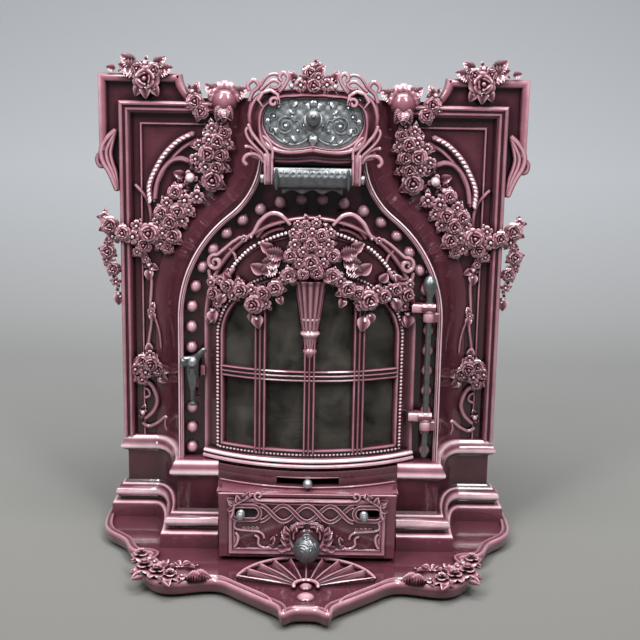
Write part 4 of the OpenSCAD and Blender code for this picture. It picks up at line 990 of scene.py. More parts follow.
def cast_wings(p):
    """The two wings: pilaster, ear, panel, great bud, stems and garland."""
    c = Casting()
    c.plate(refined(wing_outline(), 30, True), -WALL, 0, on_face, tone=0.4, edge=0.8, edge_tone=0.6)
    c.run(np.vstack([[[EAR, EAR_LOW - 6], [EAR, EAR_TOP]], ear_step()]), EAR_BAND, on_face)
    c.run([[PILASTER, PLINTH_Z], [PILASTER, 642], [NECK + COVE + 4, 642]], FRAME, on_face)
    c.run([[252, PLINTH_Z], [252, 612], [NECK + COVE + 6, 612]], LINE, on_face)
    # Side of the pilaster
    c.box((PILASTER - 7, WALL / 2, PLINTH_Z), (PILASTER, 64.5, EAR_LOW - 68), 0.45)
    # Fluted bracket under the ear
    for r, d in ((4.2, 0), (3.6, 7.5), (3.0, 14)):
        flute = [(284 + d * 0.2, 600 - d * 0.4), (296 - d * 0.3, 590 - d), (306 - d * 0.9, 574 - d * 0.6),
                 (305 - d, 556 - d * 0.2), (294 - d * 0.6, 536), (284.5 - d * 0.1, 512)]
        c.tube(smooth_line(flute, 7), r, on_face, lift=8, tone=0.95, low=0.25)
    c.stems([(4.0, 5, 0.9, [(309, 566), (313, 558), (310, 549), (302, 548)])], on_face, steps=5)
    # Great bud on the shoulder
    for a in range(-90, 91, 30):
        c.stamp(ORN["petal"], (BUD_X, 648), 25, a, on_face, 9, 1.2)
    c.stamp(ORN["ball"], (BUD_X, 642), 19, 0, on_face, 12, 0.75, shift=-0.25)
    for a in (150, 180, 210):
        c.stamp(ORN["frond"], (BUD_X, 636), 24, a, on_face, 20)
    bouquet(c, [("frond", 116, 650, 26, 60, 9), ("frond", 138, 652, 24, -50, 9)], on_face)
    # Stems, scrolls and the beaded rope
    for r, w, line in WING_STEMS:
        c.tube(smooth_line(line, 8), r, on_face, lift=w, tone=0.92, low=0.2)
    rope = smooth_line(WING_STEMS[0][2], 8)[4:]
    for i, at in enumerate(rope[::2]):
        d = rope[min(2 * i + 1, len(rope) - 1)] - rope[max(2 * i - 1, 0)]
        c.stamp(ORN["grain"], at[:2], 4.4, math.degrees(math.atan2(d[1], d[0])) - 62, on_face, 10.5)
    fill_leaves(c, WING_BLOOMS, on_face, 5)
    bouquet(c, WING_BLOOMS, on_face, p.relief)
    c.finish("cast_wing_right", "stove", "enamel", ["wing_right"])
    c.mirrored().finish("cast_wing_left", "stove", "enamel", ["wing_left"])


# Cove, rim and ball channel

def cove_section():
    """The section of cove and rim as (out from the rim, y, tone)."""
    t = np.radians(np.linspace(0, 90, 15))
    face = np.stack([COVE * (1 - np.sin(t)), FRONT * (1 - np.cos(t))], 1)
    tone = 0.5 - 0.16 * np.sin(2 * t) + 0.04 * np.sin(t)
    rim = [(0.2, -112, .9), (-1.4, -113.6, 1), (-2.6, -112.6, .55), (-3.8, -113.6, .95), (-5.2, -112.8, .6),
           (-6.4, -112.2, .9), (-7.2, -110, .7), (-7.2, -90, .15), (-1, -90, .1)]
    back = [(q[0] + 1.5, q[1] + 6, 0.1) for q in face[::-1][1:-2]]
    return [(x, y, k) for (x, y), k in zip(face, tone)] + rim + back + [(COVE, 6, 0.1)]


def cast_cove(c, z0, z1, side=1):
    """Cove and rim from height z0 to z1; side is 1 on the right, -1 on the left."""
    sec = np.array(cove_section())
    rows = np.stack([rim_line(x, z0, z1) for x in sec[:, 0]], 1)
    points = row_frame(side * rows[..., 0], sec[None, :, 1], rows[..., 1])
    c.grid(points, sec[None, :, 2], wrap_cols=True, caps=True)


def eye(x, y):
    """The outline of an eye round the hinge rod or the latch pin."""
    return arc(x, y, EYE_R, 0, 345, 23)


def hinge_lug(c, z):
    """A lug that holds the hinge rod, its underside at height z."""
    c.box((HINGE[0] - 6, HINGE[1] - 5, z), (RIM_R - 7, HINGE[1] + 12, z + 12), 0.6)
    c.plate(eye(*HINGE), z, z + 12, on_level(0), 0.7, 1.2, 0.9)


def ball(c, x, z, r):
    """One of the enamel balls in the channel."""
    c.stamp(ORN["ball"], (x, z), r, 0, on_face, BALL_DEPTH, 1, shift=-0.08)


def cast_channel(p):
    """The jambs and the arch head: cove, rim and channel of balls round the door; the hinge lugs."""
    pitch = BALL_R * math.radians(BALL_STEP)
    radius = p.ball_radius * 1000
    for name, side in (("right", 1), ("left", -1)):
        c = Casting()
        cast_cove(c, PLINTH_Z, ARCH_Z, side)
        c.box((side * REBATE_R, FLOOR_Y, PLINTH_Z), (side * 178, INNER_Y, ARCH_Z), 0.25)
        for i in range(7):
            z = ARCH_Z - (i + 0.5) * pitch
            if side > 0 or abs(z - 264) > 26:
                ball(c, side * BALL_R, z, radius)
        nodes = ["jamb_" + name, "rebate_" + name, "ball_strip_" + name]
        if side < 0:
            # The boss that the latch turns on; no balls lie behind the latch's tail
            boss = both_halves([(5, 242), (6.5, 254), (4, 266), (4, 284), (0, 290)])
            c.plate(eye(*LATCH), 95, 102, on_face, 0.5)
            c.plate(boss + [LATCH[0], 0], 94, 100, on_face, 0.6, 1.5, 0.9)
            nodes.append("latch_boss")
        c.finish("cast_jamb_" + name, "stove", "enamel", nodes)
    c = Casting()
    for side in (1, -1):
        cast_cove(c, ARCH_Z, SHOULDER, side)
    rim = rim_line(-5, ARCH_Z, SHOULDER)
    outer = np.vstack([rim, (rim * [-1, 1])[::-1]])
    inner = arc(0, ARCH_Z, REBATE_R, 0, 180, 36)
    c.ring_plate(outer, inner, -FLOOR_Y, -INNER_Y, on_face, 0.3)
    for i in range(180 // BALL_STEP):
        a = math.radians(BALL_STEP * (i + 0.5))
        ball(c, BALL_R * math.cos(a), ARCH_Z + BALL_R * math.sin(a), radius)
    # Fillet behind the feed door, and the lid over the neck of the arch
    for x0, x1, z0, z1 in ((-57, 57, 567, 572), (-57, 57, 636, 641), (-57, -52, 567, 641),
                           (52, 57, 567, 641)):
        c.box((x0, -126, z0), (x1, -95, z1), 0.35)
    t = np.radians(np.linspace(0, 90, 9))
    lid = np.stack([NECK - 3 + COVE * (1 - np.sin(t)), FRONT * (1 - np.cos(t))], 1)
    c.plate(np.vstack([lid, (lid * [-1, 1])[::-1]]), 641.3, 646.3, on_level(0), 0.4)
    nodes = ["arch_head", "arch_cove_left", "arch_cove_right", "rebate_arch", "ball_arch"]
    c.finish("cast_arch_head", "stove", "enamel", nodes)
    c = Casting()
    for z in (191.7, 346.7):
        hinge_lug(c, z)
    c.finish("cast_hinge_lugs", "stove", "enamel", ["hinge_lugs"])


# Feed door

HOOD_HALF = [
    (0, 563), (28, 561), (54, 562), (80, 566), (85, 572), (80, 584), (84, 602), (87, 620), (84, 638),
    (75, 650), (58, 656), (30, 658), (0, 660)]
PLATE_HALF = [
    (0, 585), (14, 582), (32, 581), (46, 586), (58, 596), (66, 612), (64, 628), (57, 638), (42, 644),
    (28, 646), (16, 645), (8, 646), (0, 645)]
HOOD = [
    (0, 126.3, .2), (0, 140, .45), (0.03, 146, .75), (0.09, 149.5, 1), (0.16, 150.6, .9),
    (0.22, 149.2, .5), (0.3, 147.6, .35), (0.42, 147.4, .5), (0.52, 149, .7), (0.6, 152.5, .9),
    (0.68, 155, 1), (0.76, 155, .9), (0.84, 152.6, .6), (0.89, 152.2, .75), (0.94, 153, 1),
    (1, 151, .9), (1, 146, .3), (1, 126.3, .1)]


# The door's leg on the right as (y, z), and its stems as (radius, height, tone, line):
# flutes that run up from the legs, and curls at the top corners
FEED_LEG = [
    (-131, 574), (-131, 562), (-139, 545), (-140, 539), (-143, 534.5), (-147, 533), (-151, 534.5),
    (-154, 539), (-154, 574)]
FEED_FLUTES = [
    (2.2, 153, 1, [(53.5, 566), (53, 578), (57, 588), (66, 597)]),
    (2.6, 152, 1, [(58, 562), (60, 576), (70, 588), (80, 600), (85, 612)]),
    (2.2, 151, 1, [(63, 560), (65, 572), (75, 582), (84, 592), (88, 602), (85, 608)]),
    (2.6, 149, 0.95, [(66, 566), (72, 576), (82, 582), (90, 582)]),
    (3.0, 149, 0.95, [(64, 562), (70, 570), (78, 573), (87, 571), (91, 564), (86, 558)])]
FEED_SCROLL = volute((52, 640), 7, 1.2, 200, -1, 20, [(66, 634), (72, 642), (66, 652), (56, 655), (47, 650)])
FEED_CURLS = [
    (3.0, 146, 0.95, [(84, 640), (80, 652), (72, 660), (78, 668), (86, 662), (84, 654)]),
    (2.6, 148, 1, [(70, 654), (60, 664), (52, 668), (44, 664), (50, 658), (58, 660)]),
    (2.8, 148, 1, [(46, 652), (38, 662), (34, 672), (40, 678), (45, 672), (41, 667)]),
    (2.2, 146, 0.95, [(72, 656), (62, 672), (50, 676), (42, 668)])]
CREST = [
    ("rose", 0, 662, 13, 0, 146), ("daisy", -17, 662, 11, 10, 147), ("daisy", 17, 663, 11, 0, 147),
    ("bud", 28, 661, 8, 0, 147), ("bud", -29, 661, 8, 0, 147), ("rose", -5, 678, 11, 30, 145),
    ("daisy", 6, 672, 9, 0, 148), ("bud", -2, 688, 8, 10, 145), ("rose", 5, 685, 8, 0, 144),
    ("bud", -14, 682, 5, 0, 145), ("leaf", 4, 676, 16, -40, 147), ("leaf", -8, 668, 14, 60, 147),
    ("leaf", 14, 668, 14, -60, 146), ("leaf", 24, 668, 16, -30, 144), ("leaf", -24, 668, 16, 30, 144),
    ("bud", 0, 649, 5, 0, 150), ("bud", 14, 649, 4, 0, 150), ("bud", -14, 649, 4, 0, 150)]


def cast_feed_door(p):
    """The feed door's scrolled frame with its legs, curls and crest."""
    c = Casting()
    hood = both_halves(smooth_line(HOOD_HALF, 5))
    plate = both_halves(smooth_line(PLATE_HALF, 5))
    c.between(hood, plate, HOOD, on_face)
    c.plate(plate * [1.03, 1], 127.8, 132, on_face, 0.2)
    leg = Casting()
    leg.leg((51.5, 64.5), FEED_LEG)
    for x in (53.5, 62.5):
        leg.tube([(x, 534), (x, 556), (x, 570)], 2.0, on_face, lift=154, tone=1, low=0.4)
    leg.stems(FEED_FLUTES, on_face)
    leg.tube(FEED_SCROLL, 2.6, on_face, lift=154, tone=1, low=0.3)
    leg.stems(FEED_CURLS, on_face)
    both_sides(c, leg)
    fill_leaves(c, CREST, on_face, 3, per=2)
    bouquet(c, CREST, on_face, p.relief)
    c.finish("cast_feed_door", "feed_door", "enamel", ["hopper_door"])


# The plate's middle height, and its relief on the right: scrolls, leaves and beads
PLATE_MID = 614
PLATE_SCROLLS = [
    (volute((36, 610), 13, 2.1, 150, -1, 34, [(8, 600), (15, 608), (20, 618)]), 1.5, 147.4),
    (volute((52, 622), 7, 1.5, 300, 1, 22, [(40, 634), (50, 634)]), 1.2, 147),
    (volute((54, 604), 6, 1.4, 60, -1, 20, [(60, 616)]), 1.1, 147),
    (smooth_line([(6, 594), (16, 588), (30, 586), (44, 591), (54, 600)], 6), 1.3, 147),
    (smooth_line([(18, 640), (30, 641), (44, 638), (56, 631)], 6), 1.3, 146.8)]
PLATE_LEAVES = [
    ((18, 592), 12, -60), ((30, 591), 11, -75), ((32, 636), 13, 60), ((12, 630), 12, 30),
    ((22, 628), 11, -70), ((44, 600), 10, -40), ((60, 612), 8, 0)]
PLATE_BEADS = [((20, 604), 2.4), ((36, 610), 3), ((52, 622), 2), ((12, 611), 2), ((46, 634), 2),
               ((28, 622), 1.8)]
FEED_KNOB = [
    (0, -6), (12, -6), (12.4, 0), (13, 1.6), (12, 3.2), (9, 4), (7.5, 4.6), (6.6, 6.4), (7, 8),
    (9.4, 11), (10.2, 14), (9.4, 17), (6.5, 19.4), (3.6, 20.8), (2.6, 23), (1.6, 24.4), (0, 24.8)]


def cast_feed_plate():
    """The nickel plate in the feed door, embossed with scrolls."""
    c = Casting()
    edge = both_halves(smooth_line(PLATE_HALF, 6)) * [0.985, 1]
    s = np.linspace(0, 1, 26)[:, None]
    u = edge[None, :, 0] * s
    v = PLATE_MID + (edge[None, :, 1] - PLATE_MID) * s
    w = 146 + 1.5 * (1 - s ** 4) + 0.5 * np.sin(u * 0.42) * np.sin(v * 0.5) * (1 - s ** 6)
    c.ring_sheet(on_face(u, v, w), on_face(u, v, 132), 0.5)
    half = Casting()
    for line, radius, lift in PLATE_SCROLLS:
        half.tube(line, radius, on_face, lift=lift)
    for at, size, turn in PLATE_LEAVES:
        half.stamp(ORN["leaf"], at, size, turn, on_face, 146.6, 0.8)
    for at, radius in PLATE_BEADS:
        half.stamp(ORN["bead"], at, radius, 0, on_face, 147.6)
    both_sides(c, half)
    c.stamp(ORN["frond"], (0, 600), 16, 180, on_face, 147)
    c.stamp(ORN["leaf"], (0, 634), 12, 0, on_face, 147)
    c.finish("nickel_feed_plate", "feed_door", "nickel", ["hopper_door_plate"])
    turned("nickel_feed_knob", FEED_KNOB, (0, -147, 617), (0, -0.97, 0.24), "feed_door", "dark_nickel",
           ["hopper_knob"])


def cast_hinge_bar():
    """The nickel bar that carries the feed door: a lozenge pattern over a scalloped apron."""
    c = Casting()
    u, v = np.meshgrid(np.linspace(-51, 51, 103), np.linspace(530, 556, 20), indexing="xy")
    bow = np.sqrt(np.clip(1 - ((v - BAR_Z) / 14.5) ** 2, 0, 1))
    lozenge = np.abs(((u + v - BAR_Z) / 8.5) % 2 - 1) + np.abs(((u - v + BAR_Z) / 8.5) % 2 - 1)
    inside = (np.abs(u) < 44) & (np.abs(v - BAR_Z) < 8)
    w = 148 + 10 * bow + np.where(inside, 1.3 * np.abs(lozenge - 1), 0.6)
    c.sheet(on_face(u, v, w), on_face(u, v, FEED_BACK), 0.5)
    for s in (1, -1):
        c.tube([(s * 47.5, 555, 157), (s * 47.5, 540, 158.5), (s * 47.5, 527, 156)], [3.2, 3.4, 3.0],
               on_face, tone=0.9)
    c.tube([(-50, 553.5, 154), (0, 553.5, 154), (50, 553.5, 154)], 2.2, on_face, tone=0.8)
    x = np.linspace(-40, 40, 65)
    low = 524 + 2.6 * np.cos(x * 2 * math.pi / 27)
    outline = np.vstack([np.stack([x, low], 1), [[42, 534], [-42, 534]]])
    c.plate(outline, FEED_BACK, 150, on_face, 0.3, 1.5, 0.6)
    c.box((-40, -FEED_BACK, 532), (40, FLOOR_Y, 550), 0.3)
    c.finish("nickel_hinge_bar", "stove", "dark_nickel", ["hopper_hinge_bar"])


# Fire door

RIDGE = [
    (0, -7, .2), (0, -0.5, .5), (0.8, 1.6, .85), (2.6, 2.8, 1), (4.6, 2.4, .9), (6.2, 0.4, .5),
    (7.2, -2.4, .2), (8, -3.2, .15), (8, -7, .1)]
BAR = [
    (-8, -8, .2), (-8, -2.4, .3), (-7.4, 0.2, .8), (-6, 1.2, 1), (-4.6, 0.2, .6), (-3.6, -1.8, .08),
    (-2.4, -1.8, .08), (-1.5, 0.3, .6), (0, 1.4, 1), (1.5, 0.3, .6), (2.4, -1.8, .08), (3.6, -1.8, .08),
    (4.6, 0.2, .6), (6, 1.2, 1), (7.4, 0.2, .8), (8, -2.4, .3), (8, -8, .2)]
SASH = [(-1, -8, .1), (-1, -1.5, .7), (0.2, 0.2, 1), (1.8, 0.2, .9), (3, -2.2, .3), (3.4, -3.4, .1),
        (3.4, -8, .1)]
# The bowed sill as (radius, height, tone), and the flower basket as (height, radius)
SILL = [
    (237, 144, .2), (242, 144, .35), (246.4, 144.7, .7), (248, 146.2, .85), (248, 148.8, .9),
    (246.4, 150.2, .95), (243.6, 150.6, .35), (243.2, 151.2, .2), (244.4, 151.8, .5), (246.4, 153, .9),
    (246.6, 155, 1), (245, 157, 1), (242.4, 158, .6), (240.6, 158.6, .2), (240, 161, .15),
    (237, 161, .1)]
BASKET = [
    (300, 5), (304, 6.5), (306, 8.5), (308.5, 9.4), (311, 9), (313, 7), (315, 6.6), (322, 7.4),
    (329, 10), (331.5, 12.6), (333.5, 13.4), (335.5, 12.6), (338, 10.6), (339, 10), (350, 10),
    (351, 11.4), (353, 13.2), (355, 13.2), (357, 11.4), (359, 10.6), (366, 11.4), (376, 13),
    (386, 15.4), (396, 18.6), (403, 22.4), (406, 24.6), (407, 22)]
# The cresting's scrolls on the right as (radius, height, tone, line), and its rows of beads
DOOR_VOLUTE = volute((130, 424), 11, 1.5, 100, -1, 30,
                     [(86, 464), (96, 461), (106, 454), (117, 444), (126, 436)])
DOOR_CURL = [(3.0, 0.5, 0.95, [(140, 414), (138, 404), (128, 399), (117, 402), (110, 410), (104, 420)])]
DOOR_CURLS = [
    (2.2, 0.5, 0.9, [(134, 408), (126, 405), (118, 410), (112, 418)]),
    (2.0, 0.5, 0.9, [(112, 446), (104, 438), (100, 426)])]
DOOR_HORN = smooth_line([(82, 463), (76, 470), (68, 484), (54, 495), (40, 493), (27, 480)], 8)
DOOR_RIBS = [
    (2.4, -0.8, 0.75, [(74, 462), (64, 474), (52, 482), (40, 481)]),
    (2.4, -1, 0.7, [(68, 461), (58, 469), (46, 474), (36, 475)])]
DOOR_BEADS = [
    [(111, 411), (104, 423), (94, 435), (84, 445), (76, 451)],
    [(69, 455), (56, 461), (42, 467), (29, 471)]]
# Flowers of the door's cresting as (pattern, across, up, size, turn, height)
DOOR_BLOOMS = [
    ("rose", -132, 381, 11, 0, 1), ("daisy", -136, 396, 8, 0, 1), ("daisy", -127, 368, 8, 20, 1),
    ("bud", -134, 357, 7, 0, 1), ("leaf", -132, 358, 20, 178, 0), ("leaf", -136, 350, 14, 160, 0),
    ("rose", -112, 394, 11, 30, 3), ("daisy", -122, 400, 8, 0, 2), ("daisy", -104, 382, 9, 0, 3),
    ("rose", -92, 390, 12, 0, 4), ("frond", -116, 382, 18, 150, 1), ("rose", -74, 372, 14, 0, 6),
    ("daisy", -78, 392, 9, 0, 4), ("rose", -62, 388, 11, 20, 5), ("daisy", -58, 374, 8, 0, 4),
    ("leaf", -70, 358, 20, 184, 2), ("leaf", -76, 360, 14, 160, 2), ("rose", -46, 396, 12, 0, 6),
    ("daisy", -36, 408, 9, 10, 6), ("leaf", -42, 386, 14, 200, 3), ("rose", -28, 414, 12, 0, 7),
    ("frond", -16, 412, 20, 80, 8), ("rose", -10, 416, 9, 40, 9), ("frond", 14, 412, 20, -80, 8),
    ("rose", 8, 418, 10, 0, 9), ("rose", 28, 414, 12, 20, 7), ("daisy", 38, 407, 10, 0, 6),
    ("rose", 48, 396, 13, 0, 6), ("leaf", 44, 384, 15, 160, 3), ("rose", 62, 390, 11, 60, 5),
    ("rose", 76, 380, 15, 0, 6), ("daisy", 66, 372, 8, 10, 4), ("leaf", 70, 358, 22, 178, 2),
    ("leaf", 78, 362, 16, 200, 2), ("daisy", 88, 393, 9, 0, 4), ("rose", 98, 384, 11, 0, 4),
    ("daisy", 106, 394, 9, 0, 3), ("frond", 112, 380, 20, 200, 1), ("rose", 114, 392, 10, 0, 3),
    ("rose", 131, 383, 12, 0, 1), ("daisy", 135, 397, 8, 0, 1), ("daisy", 128, 368, 9, 0, 1),
    ("bud", 133, 356, 7, 0, 1), ("leaf", 133, 356, 20, 182, 0), ("leaf", 128, 350, 14, 200, 0),
    ("rose", 0, 432, 13, 0, 7), ("daisy", -15, 430, 9, 0, 7), ("daisy", 16, 431, 9, 0, 7),
    ("rose", -26, 440, 11, 0, 5), ("rose", 28, 441, 11, 30, 5), ("frond", -40, 432, 26, 96, 3),
    ("frond", -36, 440, 26, 78, 3), ("frond", 42, 432, 26, -96, 3), ("frond", 38, 442, 26, -78, 3),
    ("frond", -44, 424, 24, 110, 3), ("frond", 46, 424, 24, -108, 3), ("daisy", -10, 446, 9, 0, 8),
    ("daisy", 11, 447, 9, 0, 8), ("rose", 0, 456, 11, 0, 7), ("daisy", -21, 455, 10, 0, 5),
    ("daisy", 22, 456, 10, 10, 5), ("rose", -12, 467, 10, 0, 5), ("daisy", 1, 471, 9, 0, 6),
    ("rose", 13, 468, 10, 0, 5), ("daisy", -24, 470, 8, 0, 4), ("daisy", 25, 471, 8, 0, 4),
    ("rose", -8, 481, 8, 0, 4), ("daisy", 6, 484, 8, 0, 4), ("daisy", -18, 482, 7, 0, 3),
    ("bud", 18, 482, 6, 0, 3), ("leaf", -6, 488, 9, 20, 3), ("leaf", 8, 488, 8, -20, 3),
    ("leaf", -60, 418, 22, 70, 2), ("leaf", 62, 418, 22, -60, 2), ("leaf", -50, 446, 20, 62, 2),
    ("leaf", 52, 448, 20, -60, 2), ("daisy", -96, 401, 7, 0, 3), ("leaf", 92, 404, 16, -40, 3),
    ("leaf", -108, 402, 14, 40, 3), ("leaf", 120, 402, 14, 30, 1)]


def door_outline(r, low):
    """The arched outline of the door at half width r, open at its foot."""
    return np.vstack([[[r, low]], arc(0, ARCH_Z, r, 0, 180, 64), [[-r, low]]])


def window_outline(g):
    """The arched outline of the window, g inside its edge, open at its foot."""
    a = np.radians(np.linspace(0, 180, 65))
    arch = np.stack([(WINDOW - g) * np.cos(a), WIN_SPRING + (WIN_RISE - g) * np.sin(a)], 1)
    return np.vstack([[[WINDOW - g, WIN_LOW + g]], arch, [[-WINDOW + g, WIN_LOW + g]]])


def cast_sill(c):
    """The bowed sill under the window."""
    prof = np.array(SILL)
    a = np.radians(np.linspace(-37.2, 37.2, 61))[:, None]
    r = prof[None, :, 0]
    points = row_frame(r * np.sin(a), BOW_C - r * np.cos(a), prof[None, :, 1])
    c.grid(points, prof[None, :, 2], wrap_cols=True, caps=True)


def cast_basket(c):
    """The fluted flower basket on the middle bar, with its beaded neck."""
    prof = np.array(BASKET, float)
    a = np.radians(np.linspace(-95, 95, 77))[:, None]
    z, r = prof[None, :, 0], prof[None, :, 1]
    flute = np.clip((z - 358) / 12, 0, 1) * (z > 359)
    hollow = flute * (1 - np.abs(np.cos(a * 6.5)) ** 0.7)
    ring = (z > 331) & (z < 336) | (z > 351.5) & (z < 356.5)
    r = r * (1 - 0.16 * hollow)
    points = row_frame(r * np.sin(a), BOW_Y + 5 - r * np.cos(a), z)
    c.grid(points, 0.75 - 0.6 * hollow + 0.15 * ring, wrap_cols=True, caps=True)
    for k in range(14):
        for height, turn in ((341.4, 0), (344.6, 6), (347.8, 0)):
            t = math.radians(12 * k - 78 + turn)
            at = row_frame(10.2 * math.sin(t), BOW_Y + 5 - 10.2 * math.cos(t), height)
            c.add(STUD_POINTS * 0.0013 + at, STUD_FACES, 0.9)


def cast_fire_door(p):
    """The bowed door: field, ridge, window with its bars, sill, basket, cresting and knuckles."""
    c = Casting()
    o, i = door_outline(DOOR_R - 1, DOOR_LOW), window_outline(-2)
    # Field between the ridge and the window, from foot to foot round the arch
    outer, inner = even_points(aside(o, 7), 140), even_points(i, 140)
    c.between(outer, inner, [(0, -3.2, .3), (0.5, -3.0, .42), (1, -3.2, .3), (1, -9, .1), (0, -9, .1)],
              on_bow, closed=False)
    c.run(refined(o, 8), RIDGE, on_bow)
    # Bottom rail of the field, and the wall behind the door's edge
    rail = refined([(-DOOR_R + 1, 0), (DOOR_R - 1, 0)], 6)
    c.run(rail + [0, 152], [(0, -9, .1), (0, -3.2, .3), (WIN_LOW - 150, -3.2, .3), (WIN_LOW - 150, -9, .1)],
          on_bow)
    wall = refined(o, 8)
    inner = aside(wall, 8)
    u, v = wall[:, 0], wall[:, 1]
    a, b = inner[:, 0], inner[:, 1]
    edge = [on_bow(u, v, -1), row_frame(u, DOOR_BACK, v), row_frame(a, DOOR_BACK, b), on_bow(a, b, -8)]
    c.grid(np.stack(edge, 1), [[.4, .25, .1, .1]], wrap_cols=True, caps=True)
    # Sash, beads and glazing bars
    sash = refined(np.vstack([window_outline(0), window_outline(0)[:1]]), 6)
    c.run(sash[::-1], SASH, on_bow)
    ring = np.vstack([window_outline(-7), window_outline(-7)[:1]])
    beads(c, refined(ring, 4), p.bead_radius * 1000, 5.2, on_bow, -2.2)
    for x in BARS:
        top = WIN_SPRING + WIN_RISE * math.sqrt(max(1 - (x / WINDOW) ** 2, 0)) + 3
        c.run([(x, WIN_LOW - 5), (x, top)], BAR, on_bow)
    c.run(refined([(-WINDOW - 2, CROSS_Z), (WINDOW + 2, CROSS_Z)], 6), [(a, w - 0.5, t) for a, w, t in BAR],
          on_bow)
    cast_sill(c)
    cast_basket(c)
    # Scrolls, rows of beads and the garland
    for s in (1, -1):
        h = Casting()
        h.tube(DOOR_VOLUTE, ramp_radius(35, 2.2, 3.6, 2.0), on_bow, lift=1.5, tone=1, low=0.25)
        h.stems(DOOR_CURL, on_bow, 0.25, 7)
        h.stems(DOOR_CURLS, on_bow, 0.25)
        h.tube(DOOR_HORN, ramp_radius(41, 2.2, 3.4, 2.4), on_bow, lift=1.5, tone=1, low=0.25)
        h.stems(DOOR_RIBS, on_bow, 0.2, 8)
        h.stamp(ORN["daisy"], (90, 460), 6, 0, on_bow, 1)
        h.stamp(ORN["bud"], (80, 463), 5, 0, on_bow, 1)
        for line in DOOR_BEADS:
            beads(h, smooth_line(line, 6), 2.7, 5.6, on_bow, 0.5, 0.1)
        ground = [(s * 115, 408), (s * 98, 429), (s * 80, 444), (s * 60, 455), (s * 30, 465)]
        c.tube(smooth_line(ground, 6), 1.6, on_bow, lift=-2, tone=0.7, low=0.15)
        c.join(h if s > 0 else h.mirrored())
    fill_leaves(c, DOOR_BLOOMS, on_bow, 9, -1)
    bouquet(c, DOOR_BLOOMS, on_bow, p.relief)
    # Knuckles, and the catch that the latch turns over
    for z in (204, 359):
        arm = [(164, -128), (164, -114), (152, -104), (140, -101), (140, -124)]
        c.plate(arm, z + 1, z + 12, on_level(0), 0.7, 1.5, 0.95)
        c.plate(eye(*HINGE), z, z + 13, on_level(0), 0.75, 1.4, 0.95)
        barrel = [(HINGE[0] - 10, HINGE[1] - 2, 6.5), (HINGE[0] + 8.5, HINGE[1] - 2, 6.5)]
        c.tube(barrel, 6.6, on_level(z), tone=0.9, taper=False)
    catch = [(-152.3, 264.2), (-146.5, 264.2), (-146.5, 276.8), (-152.3, 276.8)]
    c.plate(catch, 98, 116.5, on_face, 0.6, 0.8, 0.8)
    c.finish("cast_fire_door", "fire_door", "enamel", ["fire_door", "door_catch"])


# The hinge rod with its finial as (radius, height)
ROD = [
    (0, 150), (2, 150.5), (4, 153), (4, 380), (5.6, 384), (8, 388), (9.4, 394), (9.6, 399), (8, 405),
    (5.2, 409), (2.4, 411), (0, 411.6)]


def cast_hinge_rod():
    """The long nickel rod that the fire door swings on."""
    turned("nickel_hinge_rod", ROD, (*HINGE, 0), (0, 0, 1), "stove", "dark_nickel", ["hinge_rod"])


# Latch

# The latch's head and tail round its pin, and the foot under the tail as (radius, height)
LATCH_OUTLINE = [
    (-8, -6), (-14, -5), (-16, 1), (-13, 7), (-6, 8), (2, 9), (10, 17), (16, 20), (18, 15), (13, 9),
    (8, 2), (8, -8), (7, -22), (4, -30), (2.6, -48), (2.6, -54), (-2.6, -54), (-2.6, -48), (-4, -30),
    (-7, -22), (-8, -6)]
LATCH_FOOT = [(0, -62), (4.6, -61.4), (5.6, -59.6), (5.4, -57.8), (3.2, -56.6), (2.4, -54), (2.6, -48),
              (0, -47)]


def cast_latch():
    """The nickelled latch that turns over the door's catch."""
    c = Casting()
    x, z = LATCH
    c.plate(smooth_line(LATCH_OUTLINE, 4)[:-1] + [x, z], 117, 126, on_face, 0.5, 2.2)
    c.plate(arc(x, z, EYE_R, 0, 350, 35), 117, 128, on_face, 0.5, 2)
    tail = [(x, z - 8, 126), (x, z - 22, 127), (x, z - 36, 124), (x, z - 52, 122)]
    c.tube(tail, [6, 6.5, 4, 2.6], on_face, flat=0.6)
    c.tube([(x - 5, z - 14, 123), (x - 4, z - 26, 123)], 2.4, on_face)
    c.tube([(x + 5, z - 14, 123), (x + 4, z - 26, 123)], 2.4, on_face)
    c.stamp(ORN["ball"], (x - 13, z + 1), 5, 0, on_face, 122)
    beak = [(x + 5, z + 7, 123), (x + 11, z + 14, 124), (x + 16, z + 18, 123), (x + 17, z + 14, 122)]
    c.tube(smooth_line(beak, 5), 3.2, on_face)
    c.finish("nickel_latch", "latch", "dark_nickel", ["door_latch"])
    turned("nickel_latch_foot", LATCH_FOOT, (x, -122, z), (0, 0, 1), "latch", "dark_nickel")


# Ash box and drawer

# Front of the box behind the drawer's front
BOX_Y = -184


def on_riser(u, v, w):
    """A place on the bowed riser over the drawer."""
    return row_frame(u, bow_at(u, RISER_R) - w, v)


